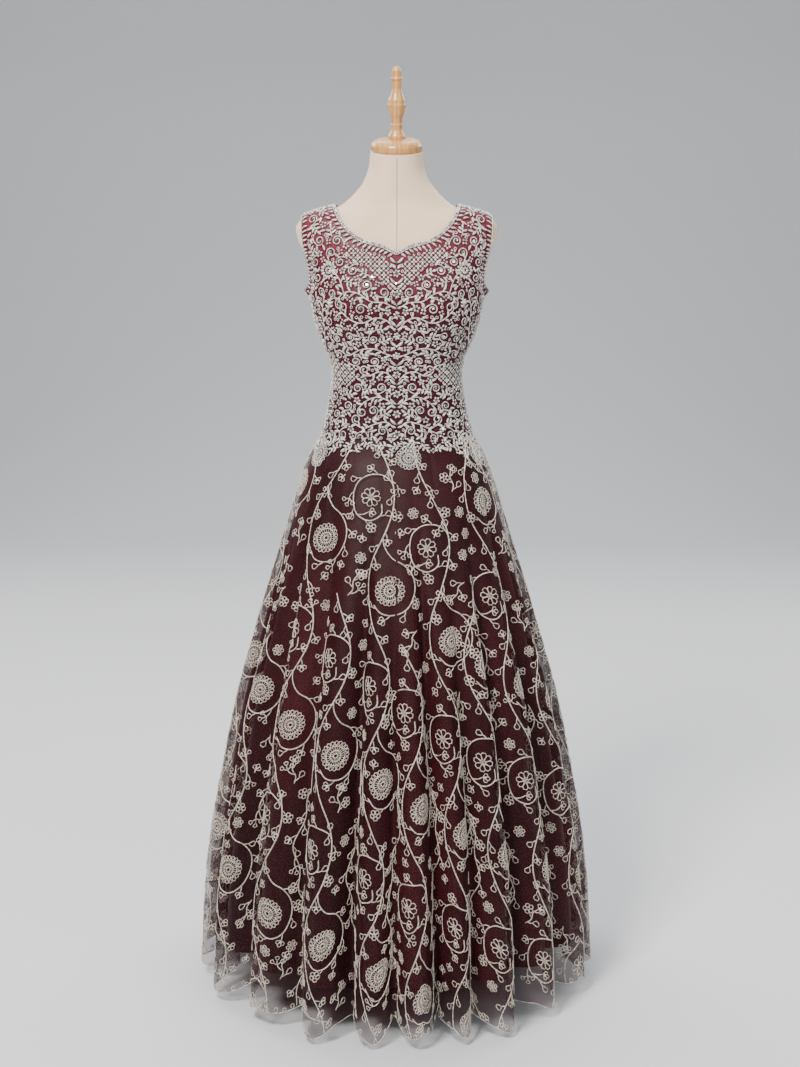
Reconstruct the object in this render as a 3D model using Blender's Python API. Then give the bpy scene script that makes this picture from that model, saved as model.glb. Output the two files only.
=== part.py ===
"""Sleeveless floor-length gown of embroidered net over a lining, standing on a limbless dress form.

Metres, +Z up. The origin is the middle of the stand's underside, on the floor. The front faces -Y,
and the wearer's left is +X. Angles round the skirt run from the front middle towards +X.
"""

from collections import namedtuple
import math

import bpy
import numpy as np

# Driving dimensions of the gown
SEAM_GAP = 0.0003
WALL = 0.001
LINING_OFFSET = 0.0052  # outer face of the lining above the dress form
NET_OFFSET = 0.0080  # outer face of the net above the dress form
HIP_SEAM_HEIGHT = 1.075  # where the bodice meets the skirt
SHOULDER_INNER = 0.112  # where the neckline crosses the shoulder
SHOULDER_OUTER = 0.174  # where the armhole crosses the shoulder
NET_HEM_HEIGHT = 0.016
LINING_HEM_HEIGHT = 0.100
HEM_FOLD_DEPTH = 0.062
HEM_VALLEY_RISE = 0.020
CREST_SOFTNESS = 0.05  # 0 gives sharp valleys, and more makes them as round as the crests
LINING_FOLD_SHARE = 0.7  # how deep the lining's folds are beside the net's
LINING_STEP_IN = 0.003
UNDERARM_EASE = 0.011
UNDERARM_EASE_REACH = 0.016
PLACKET_HALF_WIDTH = 0.011
PLACKET_GAP = 0.0004

# Driving dimensions of the dress form and its stand
BODY_SQUARENESS = 2.35  # 2 is an ellipse, and more is boxier
NECK_TILT = math.radians(8)
NECK_TILT_FROM = 1.50
NECK_TOP = 1.604
TORSO_BOTTOM = 0.86
BUST_HEIGHT = 1.312
BUST_SPACING = 0.078
BUST_RISE = 0.020
BUST_SPREAD = 0.052
NECK_CAP_STRETCH = 1.14  # front to back over side to side
NECK_CAP_GAP = 0.0003
POLE_RADIUS = 0.0125

Section = namedtuple("Section", "height half_width front back")
EdgePoint = namedtuple("EdgePoint", "across height")
Turned = namedtuple("Turned", "height radius")
Fold = namedtuple("Fold", "width valley start sway crest lift")

# The dress form, from the underside up: half width to the side, and reach to the front and back
FORM_SECTIONS = [
    Section(0.860, 0.1460, 0.0965, 0.1105),
    Section(0.900, 0.1510, 0.1025, 0.1185),
    Section(0.960, 0.1550, 0.1065, 0.1225),
    Section(1.010, 0.1510, 0.1055, 0.1175),
    Section(1.075, 0.1370, 0.0995, 0.1015),
    Section(1.128, 0.1230, 0.0925, 0.0875),
    Section(1.190, 0.1160, 0.0865, 0.0785),
    Section(1.223, 0.1210, 0.0895, 0.0795),
    Section(1.255, 0.1350, 0.0965, 0.0835),
    Section(1.302, 0.1500, 0.1045, 0.0905),
    Section(1.348, 0.1560, 0.1045, 0.0965),
    Section(1.380, 0.1610, 0.0995, 0.0985),
    Section(1.413, 0.1720, 0.0915, 0.0965),
    Section(1.440, 0.1840, 0.0830, 0.0920),
    Section(1.463, 0.1885, 0.0720, 0.0830),
    Section(1.475, 0.1820, 0.0660, 0.0770),
    Section(1.484, 0.1660, 0.0620, 0.0710),
    Section(1.492, 0.1410, 0.0590, 0.0660),
    Section(1.500, 0.1130, 0.0560, 0.0620),
    Section(1.512, 0.0940, 0.0530, 0.0590),
    Section(1.527, 0.0780, 0.0520, 0.0580),
    Section(1.548, 0.0620, 0.0520, 0.0570),
    Section(1.579, 0.0510, 0.0530, 0.0560),
    Section(1.604, 0.0485, 0.0540, 0.0550),
]

# The skirt's outline at the crests of its folds, below the hip seam
SKIRT_SECTIONS = [
    Section(0.000, 0.395, 0.412, 0.392),
    Section(0.179, 0.384, 0.398, 0.380),
    Section(0.291, 0.371, 0.382, 0.366),
    Section(0.439, 0.343, 0.350, 0.338),
    Section(0.568, 0.315, 0.317, 0.309),
    Section(0.687, 0.281, 0.280, 0.277),
    Section(0.801, 0.246, 0.241, 0.243),
    Section(0.918, 0.208, 0.194, 0.202),
    Section(0.980, 0.188, 0.167, 0.176),
    Section(1.030, 0.169, 0.143, 0.146),
    Section(1.075, 0.145, 0.107, 0.109),
]

# One row for each fold, from the wearer's right side seam across the front. The valley, start and
# sway are those of the valley that the fold begins at, and the crest and lift are those of the fold
# itself. Widths and sways are in degrees, and lifts in metres.
FRONT_FOLDS = [
    Fold(17, 0.70, 0.10, 0.0, 0.00, 0.004),
    Fold(20, 1.00, 0.04, 1.5, 0.00, 0.000),
    Fold(20, 0.95, 0.02, -2.0, 0.10, 0.006),
    Fold(19, 0.90, 0.00, 2.0, 0.00, -0.004),
    Fold(13, 1.00, 0.06, -1.5, 0.16, -0.008),
    Fold(13, 0.70, 0.20, 1.0, 0.05, 0.002),
    Fold(13, 0.95, 0.03, 2.0, 0.12, -0.006),
    Fold(14, 0.75, 0.16, -2.0, 0.00, -0.010),
    Fold(20, 1.00, 0.02, 1.5, 0.08, 0.000),
    Fold(17, 0.90, 0.05, -1.0, 0.00, 0.007),
    Fold(14, 0.80, 0.10, 1.5, 0.06, 0.002),
]
BACK_FOLDS = [
    Fold(16, 0.75, 0.08, 0.0, 0.04, 0.003),
    Fold(18, 0.95, 0.03, -1.5, 0.00, -0.004),
    Fold(15, 0.85, 0.12, 2.0, 0.10, 0.002),
    Fold(19, 1.00, 0.00, 1.0, 0.00, -0.006),
    Fold(14, 0.75, 0.18, -2.0, 0.08, 0.004),
    Fold(16, 0.95, 0.04, 1.5, 0.00, -0.002),
    Fold(19, 0.90, 0.02, -1.0, 0.05, 0.005),
    Fold(14, 0.80, 0.15, 2.0, 0.14, -0.005),
    Fold(18, 1.00, 0.02, -1.5, 0.00, 0.000),
    Fold(16, 0.85, 0.09, 1.0, 0.06, 0.006),
    Fold(15, 0.90, 0.05, -1.0, 0.02, 0.001),
]

FRONT_NECKLINE = [
    EdgePoint(0.000, 1.422),
    EdgePoint(0.028, 1.435),
    EdgePoint(0.059, 1.443),
    EdgePoint(0.080, 1.456),
    EdgePoint(0.100, 1.478),
]
BACK_NECKLINE = [
    EdgePoint(0.000, 1.446),
    EdgePoint(0.040, 1.449),
    EdgePoint(0.075, 1.460),
    EdgePoint(0.100, 1.481),
]
# Below the shoulder, the armhole as a share of the dress form's half width at that height
ARMHOLE = [
    EdgePoint(1.000, 1.350),
    EdgePoint(0.988, 1.372),
    EdgePoint(0.968, 1.400),
    EdgePoint(0.940, 1.430),
    EdgePoint(0.918, 1.463),
]

NECK_CAP_PROFILE = [
    Turned(0.000, 0.0460),
    Turned(0.003, 0.0478),
    Turned(0.010, 0.0482),
    Turned(0.015, 0.0465),
    Turned(0.019, 0.0420),
    Turned(0.0215, 0.0340),
    Turned(0.0225, 0.0200),
]
FINIAL_PROFILE = [
    Turned(0.000, 0.0163),
    Turned(0.004, 0.0160),
    Turned(0.009, 0.0138),
    Turned(0.014, 0.0110),
    Turned(0.020, 0.0100),
    Turned(0.024, 0.0107),
    Turned(0.028, 0.0096),
    Turned(0.034, 0.0102),
    Turned(0.045, 0.0138),
    Turned(0.056, 0.0160),
    Turned(0.060, 0.0170),
    Turned(0.064, 0.0162),
    Turned(0.070, 0.0156),
    Turned(0.076, 0.0128),
    Turned(0.084, 0.0098),
    Turned(0.092, 0.0084),
    Turned(0.104, 0.0084),
    Turned(0.108, 0.0108),
    Turned(0.112, 0.0088),
    Turned(0.121, 0.0087),
    Turned(0.127, 0.0066),
    Turned(0.130, 0.0026),
]
BASE_PROFILE = [
    Turned(0.000, 0.1650),
    Turned(0.004, 0.1680),
    Turned(0.010, 0.1670),
    Turned(0.016, 0.1500),
    Turned(0.024, 0.0500),
    Turned(0.032, 0.0260),
    Turned(0.060, 0.0220),
]

# How finely each piece is divided
TORSO_SIDES = 32
TURNED_SIDES = 20
NET_FOLD_STEPS = (0.0, 0.14, 0.36, 0.64, 0.86)
LINING_FOLD_STEPS = (0.0, 0.22, 0.50, 0.78)
NET_ROWS = (0.0, 0.05, 0.12, 0.21, 0.33, 0.47, 0.62, 0.77, 0.90, 1.0)
LINING_ROWS = (0.0, 0.06, 0.14, 0.26, 0.45, 0.72, 1.0)
# Rows of the bodice as shares from the hip seam up, with the underarm on one of them
BODICE_ROWS = (0.0, 0.10, 0.19, 0.28, 0.37, 0.45, 0.54, 0.62, 0.69, 0.76, 0.82, 0.88, 0.925, 0.965, 0.99, 1.0)
UNDERARM_ROW = 0.62
BODICE_COLUMNS = (9, 3)  # along the neckline and the shoulder of one half

# Colours, roughness and metallic value of each material
MATERIALS = {
    "net": ((0.235, 0.060, 0.085), 0.75, 0.0),
    "lining": ((0.160, 0.030, 0.045), 0.45, 0.0),
    "form_cloth": ((0.800, 0.720, 0.620), 0.85, 0.0),
    "wood": ((0.640, 0.360, 0.130), 0.35, 0.0),
    "stand_metal": ((0.060, 0.060, 0.065), 0.40, 1.0),
}


def clear_scene():
    for old in list(bpy.data.objects):
        bpy.data.objects.remove(old)


def material(name):
    """A Principled material from the table above, made once."""
    found = bpy.data.materials.get(name)
    if found:
        return found
    colour, roughness, metallic = MATERIALS[name]
    made = bpy.data.materials.new(name)
    made.use_nodes = True
    shader = made.node_tree.nodes["Principled BSDF"]
    shader.inputs["Base Color"].default_value = (*colour, 1.0)
    shader.inputs["Roughness"].default_value = roughness
    shader.inputs["Metallic"].default_value = metallic
    return made


def add_object(name, points, faces, finish):
    """A smooth-shaded mesh object from points and faces that point out."""
    mesh = bpy.data.meshes.new(name)
    mesh.from_pydata([tuple(map(float, p)) for p in points], [], faces)
    mesh.shade_smooth()
    mesh.set_sharp_from_angle(angle=math.radians(50))
    mesh.materials.append(material(finish))
    made = bpy.data.objects.new(name, mesh)
    bpy.context.scene.collection.objects.link(made)
    return made


def column_of(table, name):
    return np.array([getattr(row, name) for row in table], float)


def curve_through(keys, values, at):
    """Smooth curve through (keys, values) that never overshoots them, read at the numbers in at."""
    steps = np.diff(keys)
    slopes = np.diff(values) / steps
    tangents = np.empty(len(keys))
    tangents[0], tangents[-1] = slopes[0], slopes[-1]
    before, after = slopes[:-1], slopes[1:]
    same_way = before * after > 0
    total = np.where(same_way, before + after, 1.0)
    tangents[1:-1] = np.where(same_way, 2 * before * after / total, 0.0)
    at = np.clip(at, keys[0], keys[-1])
    k = np.clip(np.searchsorted(keys, at, side="right") - 1, 0, len(keys) - 2)
    t = (at - keys[k]) / steps[k]
    rise = (
        (2 * t**3 - 3 * t**2 + 1) * values[k]
        + (t**3 - 2 * t**2 + t) * steps[k] * tangents[k]
        + (3 * t**2 - 2 * t**3) * values[k + 1]
        + (t**3 - t**2) * steps[k] * tangents[k + 1]
    )
    return rise


def section_at(table, height):
    """Half width, front and back reach of a table of sections at these heights."""
    keys = column_of(table, "height")
    names = ("half_width", "front", "back")
    return [curve_through(keys, column_of(table, name), height) for name in names]


def smooth_step(low, high, value):
    """0 below low and 1 above high, with a smooth rise between."""
    t = np.clip((value - low) / (high - low), 0, 1)
    return t * t * (3 - 2 * t)


def bust(x, z, ratio):
    """How far the dress form's two bust points stand out of its plain front."""
    side = (np.abs(x) - BUST_SPACING) / BUST_SPREAD
    up = (z - BUST_HEIGHT) / BUST_SPREAD
    return BUST_RISE * np.exp(-(side**2) - up**2) * (1 - np.clip(ratio, 0, 1) ** 2)


def form_depth(x, z, side):
    """y of the dress form at front-view place (x, z); side is -1 for the front and 1 for the back."""
    width, front, back = section_at(FORM_SECTIONS, z)
    ratio = np.clip(np.abs(x) / width, 0, 1)
    reach = (1 - ratio**BODY_SQUARENESS) ** (1 / BODY_SQUARENESS)
    if side < 0:
        return -front * reach - bust(x, z, ratio)
    return back * reach


def form_field(p, side):
    """Zero on the dress form and growing outwards, so that its slope is the way out."""
    x, y, z = p[..., 0], p[..., 1], p[..., 2]
    width, front, back = section_at(FORM_SECTIONS, z)
    ratio = np.abs(x) / width
    if side < 0:
        depth = np.abs(np.minimum(y, 0) + bust(x, z, ratio)) / front
    else:
        depth = np.maximum(y, 0) / back
    return ratio**BODY_SQUARENESS + depth**BODY_SQUARENESS


def form_slope(p, side):
    steps = 1e-5 * np.eye(3)
    return np.stack([form_field(p + e, side) - form_field(p - e, side) for e in steps], axis=-1) / 2e-5


def form_normal(p, side):
    slope = form_slope(p, side)
    return slope / np.linalg.norm(slope, axis=-1, keepdims=True)


def shoulder_height(x):
    """Height of the dress form's shoulder ridge at this distance from the middle."""
    top = [row for row in FORM_SECTIONS if row.height >= 1.463]
    widths = column_of(top, "half_width")[::-1]
    heights = column_of(top, "height")[::-1]
    return curve_through(widths, heights, np.asarray(x, float))


def length_along(points):
    return np.concatenate([[0], np.cumsum(np.linalg.norm(np.diff(points, axis=0), axis=1))])


def along(points, count, side):
    """count + 1 front-view points, evenly spaced over the dress form along the curve through points."""
    points = np.array(points, float)
    flat = length_along(points)
    fine = np.linspace(0, flat[-1], 400)
    curve = np.stack([curve_through(flat, points[:, k], fine) for k in range(2)], axis=1)
    depth = form_depth(curve[:, 0], curve[:, 1], side)
    length = length_along(np.column_stack([curve, depth]))
    at = np.linspace(0, length[-1], count + 1)
    return np.stack([np.interp(at, length, curve[:, k]) for k in range(2)], axis=1)


def on_form(flat, side):
    """Front-view points put on the dress form."""
    x, z = flat[:, 0], flat[:, 1]
    return np.column_stack([x, form_depth(x, z, side), z])


def bodice_edges(neckline, side):
    """Hip, top, middle and outer edge of half a bodice, as points on the dress form."""
    on_neckline, on_shoulder = BODICE_COLUMNS
    turn = np.linspace(0, math.pi / 2, on_neckline + on_shoulder + 1)
    hip_width = float(section_at(FORM_SECTIONS, HIP_SEAM_HEIGHT)[0])
    hip = np.column_stack([hip_width * np.sin(turn), np.full(len(turn), HIP_SEAM_HEIGHT)])
    inner = (SHOULDER_INNER, float(shoulder_height(SHOULDER_INNER)))
    outer = (SHOULDER_OUTER, float(shoulder_height(SHOULDER_OUTER)))
    neck = along([tuple(p) for p in neckline] + [inner], on_neckline, side)
    x = np.linspace(inner[0], outer[0], on_shoulder + 1)
    top = np.concatenate([neck, np.column_stack([x, shoulder_height(x)])[1:]])
    shares = np.array(BODICE_ROWS)
    middle = HIP_SEAM_HEIGHT + (top[0, 1] - HIP_SEAM_HEIGHT) * shares
    middle = np.column_stack([0 * middle, middle])
    underarm = ARMHOLE[0].height
    seam_z = HIP_SEAM_HEIGHT + (underarm - HIP_SEAM_HEIGHT) * shares[shares < UNDERARM_ROW] / UNDERARM_ROW
    seam = np.column_stack([section_at(FORM_SECTIONS, seam_z)[0], seam_z])
    arm = [(p.across * float(section_at(FORM_SECTIONS, p.height)[0]), p.height) for p in ARMHOLE]
    fine = along(arm + [outer], 400, side)
    up_arm = (shares[shares >= UNDERARM_ROW] - UNDERARM_ROW) / (1 - UNDERARM_ROW)
    fine_shares = np.linspace(0, 1, len(fine))
    arm = np.column_stack([np.interp(up_arm, fine_shares, fine[:, k]) for k in range(2)])
    edges = (hip, top, middle, np.concatenate([seam, arm]))
    return [on_form(edge, side) for edge in edges]


def bodice_half(side, neckline):
    """Grid of points and normals on the dress form under half a bodice, middle to side seam."""
    hip, top, middle, outer = bodice_edges(neckline, side)
    u = np.linspace(0, 1, len(hip))[None, :, None]
    v = np.array(BODICE_ROWS)[:, None, None]
    flat = (1 - u) * middle[:, None] + u * outer[:, None] + (1 - v) * hip[None] + v * top[None]
    flat -= (1 - u) * (1 - v) * hip[0] + u * (1 - v) * hip[-1] + (1 - u) * v * top[0] + u * v * top[-1]
    points = flat.copy()
    for _ in range(12):
        high = form_field(points, side) - 1
        slope = form_slope(points, side)
        points = points - slope * (high / (slope**2).sum(-1))[..., None]
    points[0], points[-1] = hip, top
    points[:, 0], points[:, -1] = middle, outer
    return points, form_normal(points, side)


def underarm_ease(points):
    """How far the cloth stands off at the lowest corner of the armhole."""
    height = ARMHOLE[0].height
    corner = np.array([float(section_at(FORM_SECTIONS, height)[0]), 0, height])
    away = np.linalg.norm(np.abs(points * (1, 0, 1)) + points * (0, 1, 0) - corner, axis=-1)
    return UNDERARM_EASE * np.exp(-((away / UNDERARM_EASE_REACH) ** 2))


def bodice_layer(points, normals, offset, side):
    """The grid moved out by offset, and kept half a seam gap on its own side of the side seams."""
    moved = points + normals * (offset + underarm_ease(points))[..., None]
    gap = SEAM_GAP * 0.6
    moved[..., 1] = np.minimum(moved[..., 1], -gap) if side < 0 else np.maximum(moved[..., 1], gap)
    return moved


def mirrored(grid):
    """A half grid joined with its mirror image, from the -X side seam to the +X one."""
    other = grid[:, ::-1] * (-1, 1, 1)
    return np.concatenate([other[:, :-1], grid], axis=1)


def wall(name, outer, inner, finish):
    """A closed cloth wall between two grids of the same size."""
    rows, columns = outer.shape[:2]
    size = rows * columns
    points = np.concatenate([outer.reshape(-1, 3), inner.reshape(-1, 3)])

    def at(r, c, layer):
        return layer * size + r * columns + c

    faces = []
    for r in range(rows - 1):
        for c in range(columns - 1):
            for layer in (0, 1):
                a, b = at(r, c, layer), at(r, c + 1, layer)
                d, e = at(r + 1, c, layer), at(r + 1, c + 1, layer)
                pair = [(a, b, e), (a, e, d)]
                faces += pair if layer == 0 else [t[::-1] for t in pair]
    edge = [(0, c) for c in range(columns)]
    edge += [(r, columns - 1) for r in range(1, rows)]
    edge += [(rows - 1, c) for c in range(columns - 2, -1, -1)]
    edge += [(r, 0) for r in range(rows - 2, 0, -1)]
    for (r0, c0), (r1, c1) in zip(edge, edge[1:] + edge[:1]):
        a, b = at(r0, c0, 0), at(r1, c1, 0)
        c, d = at(r1, c1, 1), at(r0, c0, 1)
        faces += [(b, a, d), (b, d, c)]
    # Turned the other way where the grid runs so that its faces point in
    corner, along_row, up = outer[0, 0], outer[0, 1], outer[1, 0]
    face_way = np.cross(along_row - corner, up - corner)
    if face_way @ (outer[0, 0] - inner[0, 0]) < 0:
        faces = [t[::-1] for t in faces]
    return add_object(name, points, faces, finish)


def build_bodice():
    """Net and lining, each a front and two back halves that meet under a placket."""
    layers = (
        ("bodice_net", "net", NET_OFFSET),
        ("bodice_lining", "lining", LINING_OFFSET),
    )
    for name, finish, offset in layers:
        points, normals = bodice_half(-1, FRONT_NECKLINE)
        outer = mirrored(bodice_layer(points, normals, offset, -1))
        inner = mirrored(bodice_layer(points, normals, offset - WALL, -1))
        wall(f"{name}_front", outer, inner, finish)
        points, normals = bodice_half(1, BACK_NECKLINE)
        outer = bodice_layer(points, normals, offset, 1)
        inner = bodice_layer(points, normals, offset - WALL, 1)
        for grid in (outer, inner):
            grid[:, 0, 0] += SEAM_GAP * 0.6
        wall(f"{name}_back_left", outer, inner, finish)
        flip = np.array((-1, 1, 1))
        wall(f"{name}_back_right", outer * flip, inner * flip, finish)


def build_placket():
    """The strip over the back opening, made from the back's own points, moved out."""
    back = bodice_half(1, BACK_NECKLINE)[0]
    z = back[:, :1, 2]
    x = np.linspace(-1, 1, 5)[None, :] * PLACKET_HALF_WIDTH + 0 * z
    z = z + 0 * x
    points = np.stack([x, form_depth(x, z, 1), z], axis=-1)
    normals = form_normal(points, 1)
    start = NET_OFFSET + PLACKET_GAP
    wall("back_placket", points + normals * (start + WALL), points + normals * start, "net")


def fold_edges(folds, from_angle):
    """Angles of the valleys that part the folds, with the last one closing the run."""
    return from_angle + np.concatenate([[0], np.cumsum(column_of(folds, "width"))])


def fold_shape(angle, fall):
    """The folds at an angle and a share fall of the skirt's drop.

    Gives how far in the cloth lies, from 0 on the outline to about 1 in a valley, then 1 on a crest
    and 0 in a valley, then how far above the others its hem hangs.
    """
    folds = FRONT_FOLDS + BACK_FOLDS
    closed = folds + folds[:1]
    turned_angle = np.ravel((angle + 90) % 360 - 90)
    flat_fall = np.ravel(fall)
    edges = fold_edges(folds, -90)[:, None] + column_of(closed, "sway")[:, None] * (flat_fall - 0.5)
    k = np.clip((edges <= turned_angle).sum(0) - 1, 0, len(folds) - 1)
    here = np.arange(len(k))
    t = np.clip((turned_angle - edges[k, here]) / (edges[k + 1, here] - edges[k, here]), 0, 1)
    hump = np.sqrt(np.sin(math.pi * t) ** 2 + CREST_SOFTNESS) - math.sqrt(CREST_SOFTNESS)
    hump /= math.sqrt(1 + CREST_SOFTNESS) - math.sqrt(CREST_SOFTNESS)
    starts = column_of(closed, "start")[:, None]
    grown = column_of(closed, "valley")[:, None] * smooth_step(0, 0.4, flat_fall - starts + 0.05)
    blend = smooth_step(0, 1, t)
    in_valley = (1 - blend) * grown[k, here] + blend * grown[k + 1, here]
    on_crest = column_of(folds, "crest")[k] * smooth_step(0.1, 0.7, flat_fall)
    inward = (1 - hump) * in_valley + hump * on_crest
    lift = column_of(folds, "lift")[k] * hump
    return [each.reshape(angle.shape) for each in (inward, hump, lift)]


def skirt_point(angle, s, is_lining):
    """Outer face of the skirt's net or lining at an angle in degrees and a share s of its drop."""
    top = HIP_SEAM_HEIGHT - SEAM_GAP
    full_drop = top - NET_HEM_HEIGHT
    fall = s * (top - LINING_HEM_HEIGHT) / full_drop if is_lining else s
    inward, hump, lift = fold_shape(angle, fall)
    z = top - full_drop * fall
    if not is_lining:
        z = z + (HEM_VALLEY_RISE * (1 - hump) + lift) * smooth_step(0.5, 1, s)
    width, front, back = section_at(SKIRT_SECTIONS, z)
    turn = np.radians(angle)
    squareness = BODY_SQUARENESS + (2.0 - BODY_SQUARENESS) * smooth_step(0, 0.25, fall)
    power = 2 / squareness
    across, ahead = np.sin(turn), np.cos(turn)
    reach = np.where(ahead >= 0, front, back)
    x = width * np.sign(across) * np.abs(across) ** power
    y = -reach * np.sign(ahead) * np.abs(ahead) ** power
    nx = np.sign(x) * (np.abs(x) / width) ** (squareness - 1) / width
    ny = np.sign(y) * (np.abs(y) / reach) ** (squareness - 1) / reach
    length = np.hypot(nx, ny)
    depth = HEM_FOLD_DEPTH * (1 - (1 - fall) ** 1.5)
    if is_lining:
        step_in = NET_OFFSET - LINING_OFFSET + LINING_STEP_IN * smooth_step(0, 0.08, fall)
        step_in += (1 - LINING_FOLD_SHARE) * depth
        distance = step_in + LINING_FOLD_SHARE * depth * inward
    else:
        distance = depth * inward
    return np.stack([x - nx / length * distance, y - ny / length * distance, z], axis=-1)


def skirt_normal(angle, s, is_lining):
    turn, step = 0.05, 0.001
    low = np.clip(s - step, 0, 1)
    high = np.clip(s + step, 0, 1)
    round_it = skirt_point(angle + turn, s, is_lining) - skirt_point(angle - turn, s, is_lining)
    down = skirt_point(angle, high, is_lining) - skirt_point(angle, low, is_lining)
    normal = np.cross(down, round_it)
    return normal / np.linalg.norm(normal, axis=-1, keepdims=True)


def fold_angles(folds, from_angle, steps):
    edges = fold_edges(folds, from_angle)
    angles = [a + (b - a) * t for a, b in zip(edges, edges[1:]) for t in steps]
    return np.array(angles + [edges[-1]])


def build_skirt():
    """A front and a back panel of net, and the same of lining."""
    layers = (
        ("skirt_net", "net", False, NET_FOLD_STEPS, NET_ROWS),
        ("skirt_lining", "lining", True, LINING_FOLD_STEPS, LINING_ROWS),
    )
    sides = (("front", FRONT_FOLDS, -90), ("back", BACK_FOLDS, 90))
    for name, finish, is_lining, steps, rows in layers:
        for side, folds, from_angle in sides:
            angle, s = np.meshgrid(fold_angles(folds, from_angle, steps), np.array(rows))
            outer = skirt_point(angle, s, is_lining)
            inner = outer - WALL * skirt_normal(angle, s, is_lining)
            for grid in (outer, inner):
                for column in (0, -1):
                    grid[:, column, 1] = (-1 if side == "front" else 1) * SEAM_GAP * 0.6
            inner[0, :, 2] = outer[0, :, 2]
            wall(f"{name}_{side}", outer, inner, finish)


def loft(name, rings, finish, low_point=None, high_point=None):
    """A closed solid through rings from the bottom up, ended by points or flat faces."""
    sides = len(rings[0])
    points = [p for ring in rings for p in ring]
    faces = []
    for r in range(len(rings) - 1):
        for c in range(sides):
            a, b = r * sides + c, r * sides + (c + 1) % sides
            faces.append((a, b, b + sides, a + sides))
    last = (len(rings) - 1) * sides
    if low_point is None:
        faces.append(tuple(range(sides))[::-1])
    else:
        points.append(low_point)
        faces += [((c + 1) % sides, c, len(points) - 1) for c in range(sides)]
    if high_point is None:
        faces.append(tuple(range(last, last + sides)))
    else:
        points.append(high_point)
        faces += [(last + c, last + (c + 1) % sides, len(points) - 1) for c in range(sides)]
    return add_object(name, points, faces, finish)


def turned(name, profile, finish, stretch=1.0, tip=None):
    """A turned piece from its profile, with its foot at its own origin."""
    turns = np.arange(TURNED_SIDES) * 2 * math.pi / TURNED_SIDES
    rings = [
        [(row.radius * math.cos(t), row.radius * stretch * math.sin(t), row.height) for t in turns]
        for row in profile
    ]
    high = None if tip is None else (0.0, 0.0, tip)
    return loft(name, rings, finish, high_point=high)


def neck_lean(z):
    """How much the rings of the neck tip forward at this height."""
    return NECK_TILT * smooth_step(NECK_TILT_FROM, NECK_TOP, z)


def build_torso():
    """The dress form's body, one closed loft from its flat underside to the top of the neck."""
    heights = column_of(FORM_SECTIONS, "height")
    extra = [1.16, 1.28, 1.325, 1.364, 1.395, 1.427, 1.452, 1.488, 1.496, 1.506]
    heights = np.sort(np.concatenate([heights, extra]))
    turns = -math.pi / 2 + np.arange(TORSO_SIDES) * 2 * math.pi / TORSO_SIDES
    power = 2 / BODY_SQUARENESS
    rings = []
    for z in heights:
        width, front, back = [float(v) for v in section_at(FORM_SECTIONS, z)]
        across, ahead = np.cos(turns), np.sin(turns)
        x = width * np.sign(across) * np.abs(across) ** power
        reach = np.where(ahead < 0, front, back)
        y = reach * np.sign(ahead) * np.abs(ahead) ** power
        y -= np.where(ahead < 0, bust(x, z, np.abs(x) / width), 0)
        tilt = math.tan(float(neck_lean(z)))
        rings.append(np.stack([x, y, z + tilt * y], axis=-1))
    return loft("form_torso", rings, "form_cloth")


def build_stand():
    """Neck cap, finial, pole and base."""
    cap = turned("form_neck_cap", NECK_CAP_PROFILE, "wood", stretch=NECK_CAP_STRETCH, tip=0.0227)
    cap.rotation_euler = (NECK_TILT, 0, 0)
    lift = NECK_CAP_GAP + 0.0002
    cap.location = (0, -lift * math.sin(NECK_TILT), NECK_TOP + lift * math.cos(NECK_TILT))
    finial = turned("form_finial", FINIAL_PROFILE, "wood", tip=0.1306)
    finial.parent = cap
    finial.location = (0, 0, 0.0227 + NECK_CAP_GAP)
    turned("form_base", BASE_PROFILE, "stand_metal")
    low = BASE_PROFILE[-1].height + SEAM_GAP
    high = TORSO_BOTTOM - SEAM_GAP
    pole = [Turned(0.0, POLE_RADIUS), Turned(high - low, POLE_RADIUS)]
    turned("form_pole", pole, "stand_metal").location = (0, 0, low)


def main():
    clear_scene()
    build_torso()
    build_stand()
    build_bodice()
    build_placket()
    build_skirt()


main()
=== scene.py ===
"""Looks of the net gown on its dress form: fine cloth surfaces, embroidery, wood, floor, light, camera.

Metres, +Z up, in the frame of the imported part: the gown's front faces -Y and the wearer's left is
+X. Angles round the skirt run from the front middle towards +X. Designs for the embroidery are drawn
in millimetres, x across the cloth and y down it, and then laid on the cloth.
"""

from collections import namedtuple
import math

import bpy
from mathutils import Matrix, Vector
from mathutils.kdtree import KDTree
import numpy as np


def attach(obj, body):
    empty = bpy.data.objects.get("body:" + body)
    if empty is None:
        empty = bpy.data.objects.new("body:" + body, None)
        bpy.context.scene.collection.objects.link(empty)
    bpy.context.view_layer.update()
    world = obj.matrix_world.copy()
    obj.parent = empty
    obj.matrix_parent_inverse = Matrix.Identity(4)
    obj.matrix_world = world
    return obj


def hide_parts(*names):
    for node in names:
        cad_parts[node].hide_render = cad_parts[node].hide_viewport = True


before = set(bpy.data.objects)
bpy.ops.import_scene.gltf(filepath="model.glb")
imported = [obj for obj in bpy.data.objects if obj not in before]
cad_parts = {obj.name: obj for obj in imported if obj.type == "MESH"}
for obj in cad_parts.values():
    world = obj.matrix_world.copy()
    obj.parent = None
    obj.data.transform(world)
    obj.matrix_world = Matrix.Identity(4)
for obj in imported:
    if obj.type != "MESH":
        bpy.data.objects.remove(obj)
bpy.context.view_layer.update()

MM = 0.001
BODY = "root"

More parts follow.
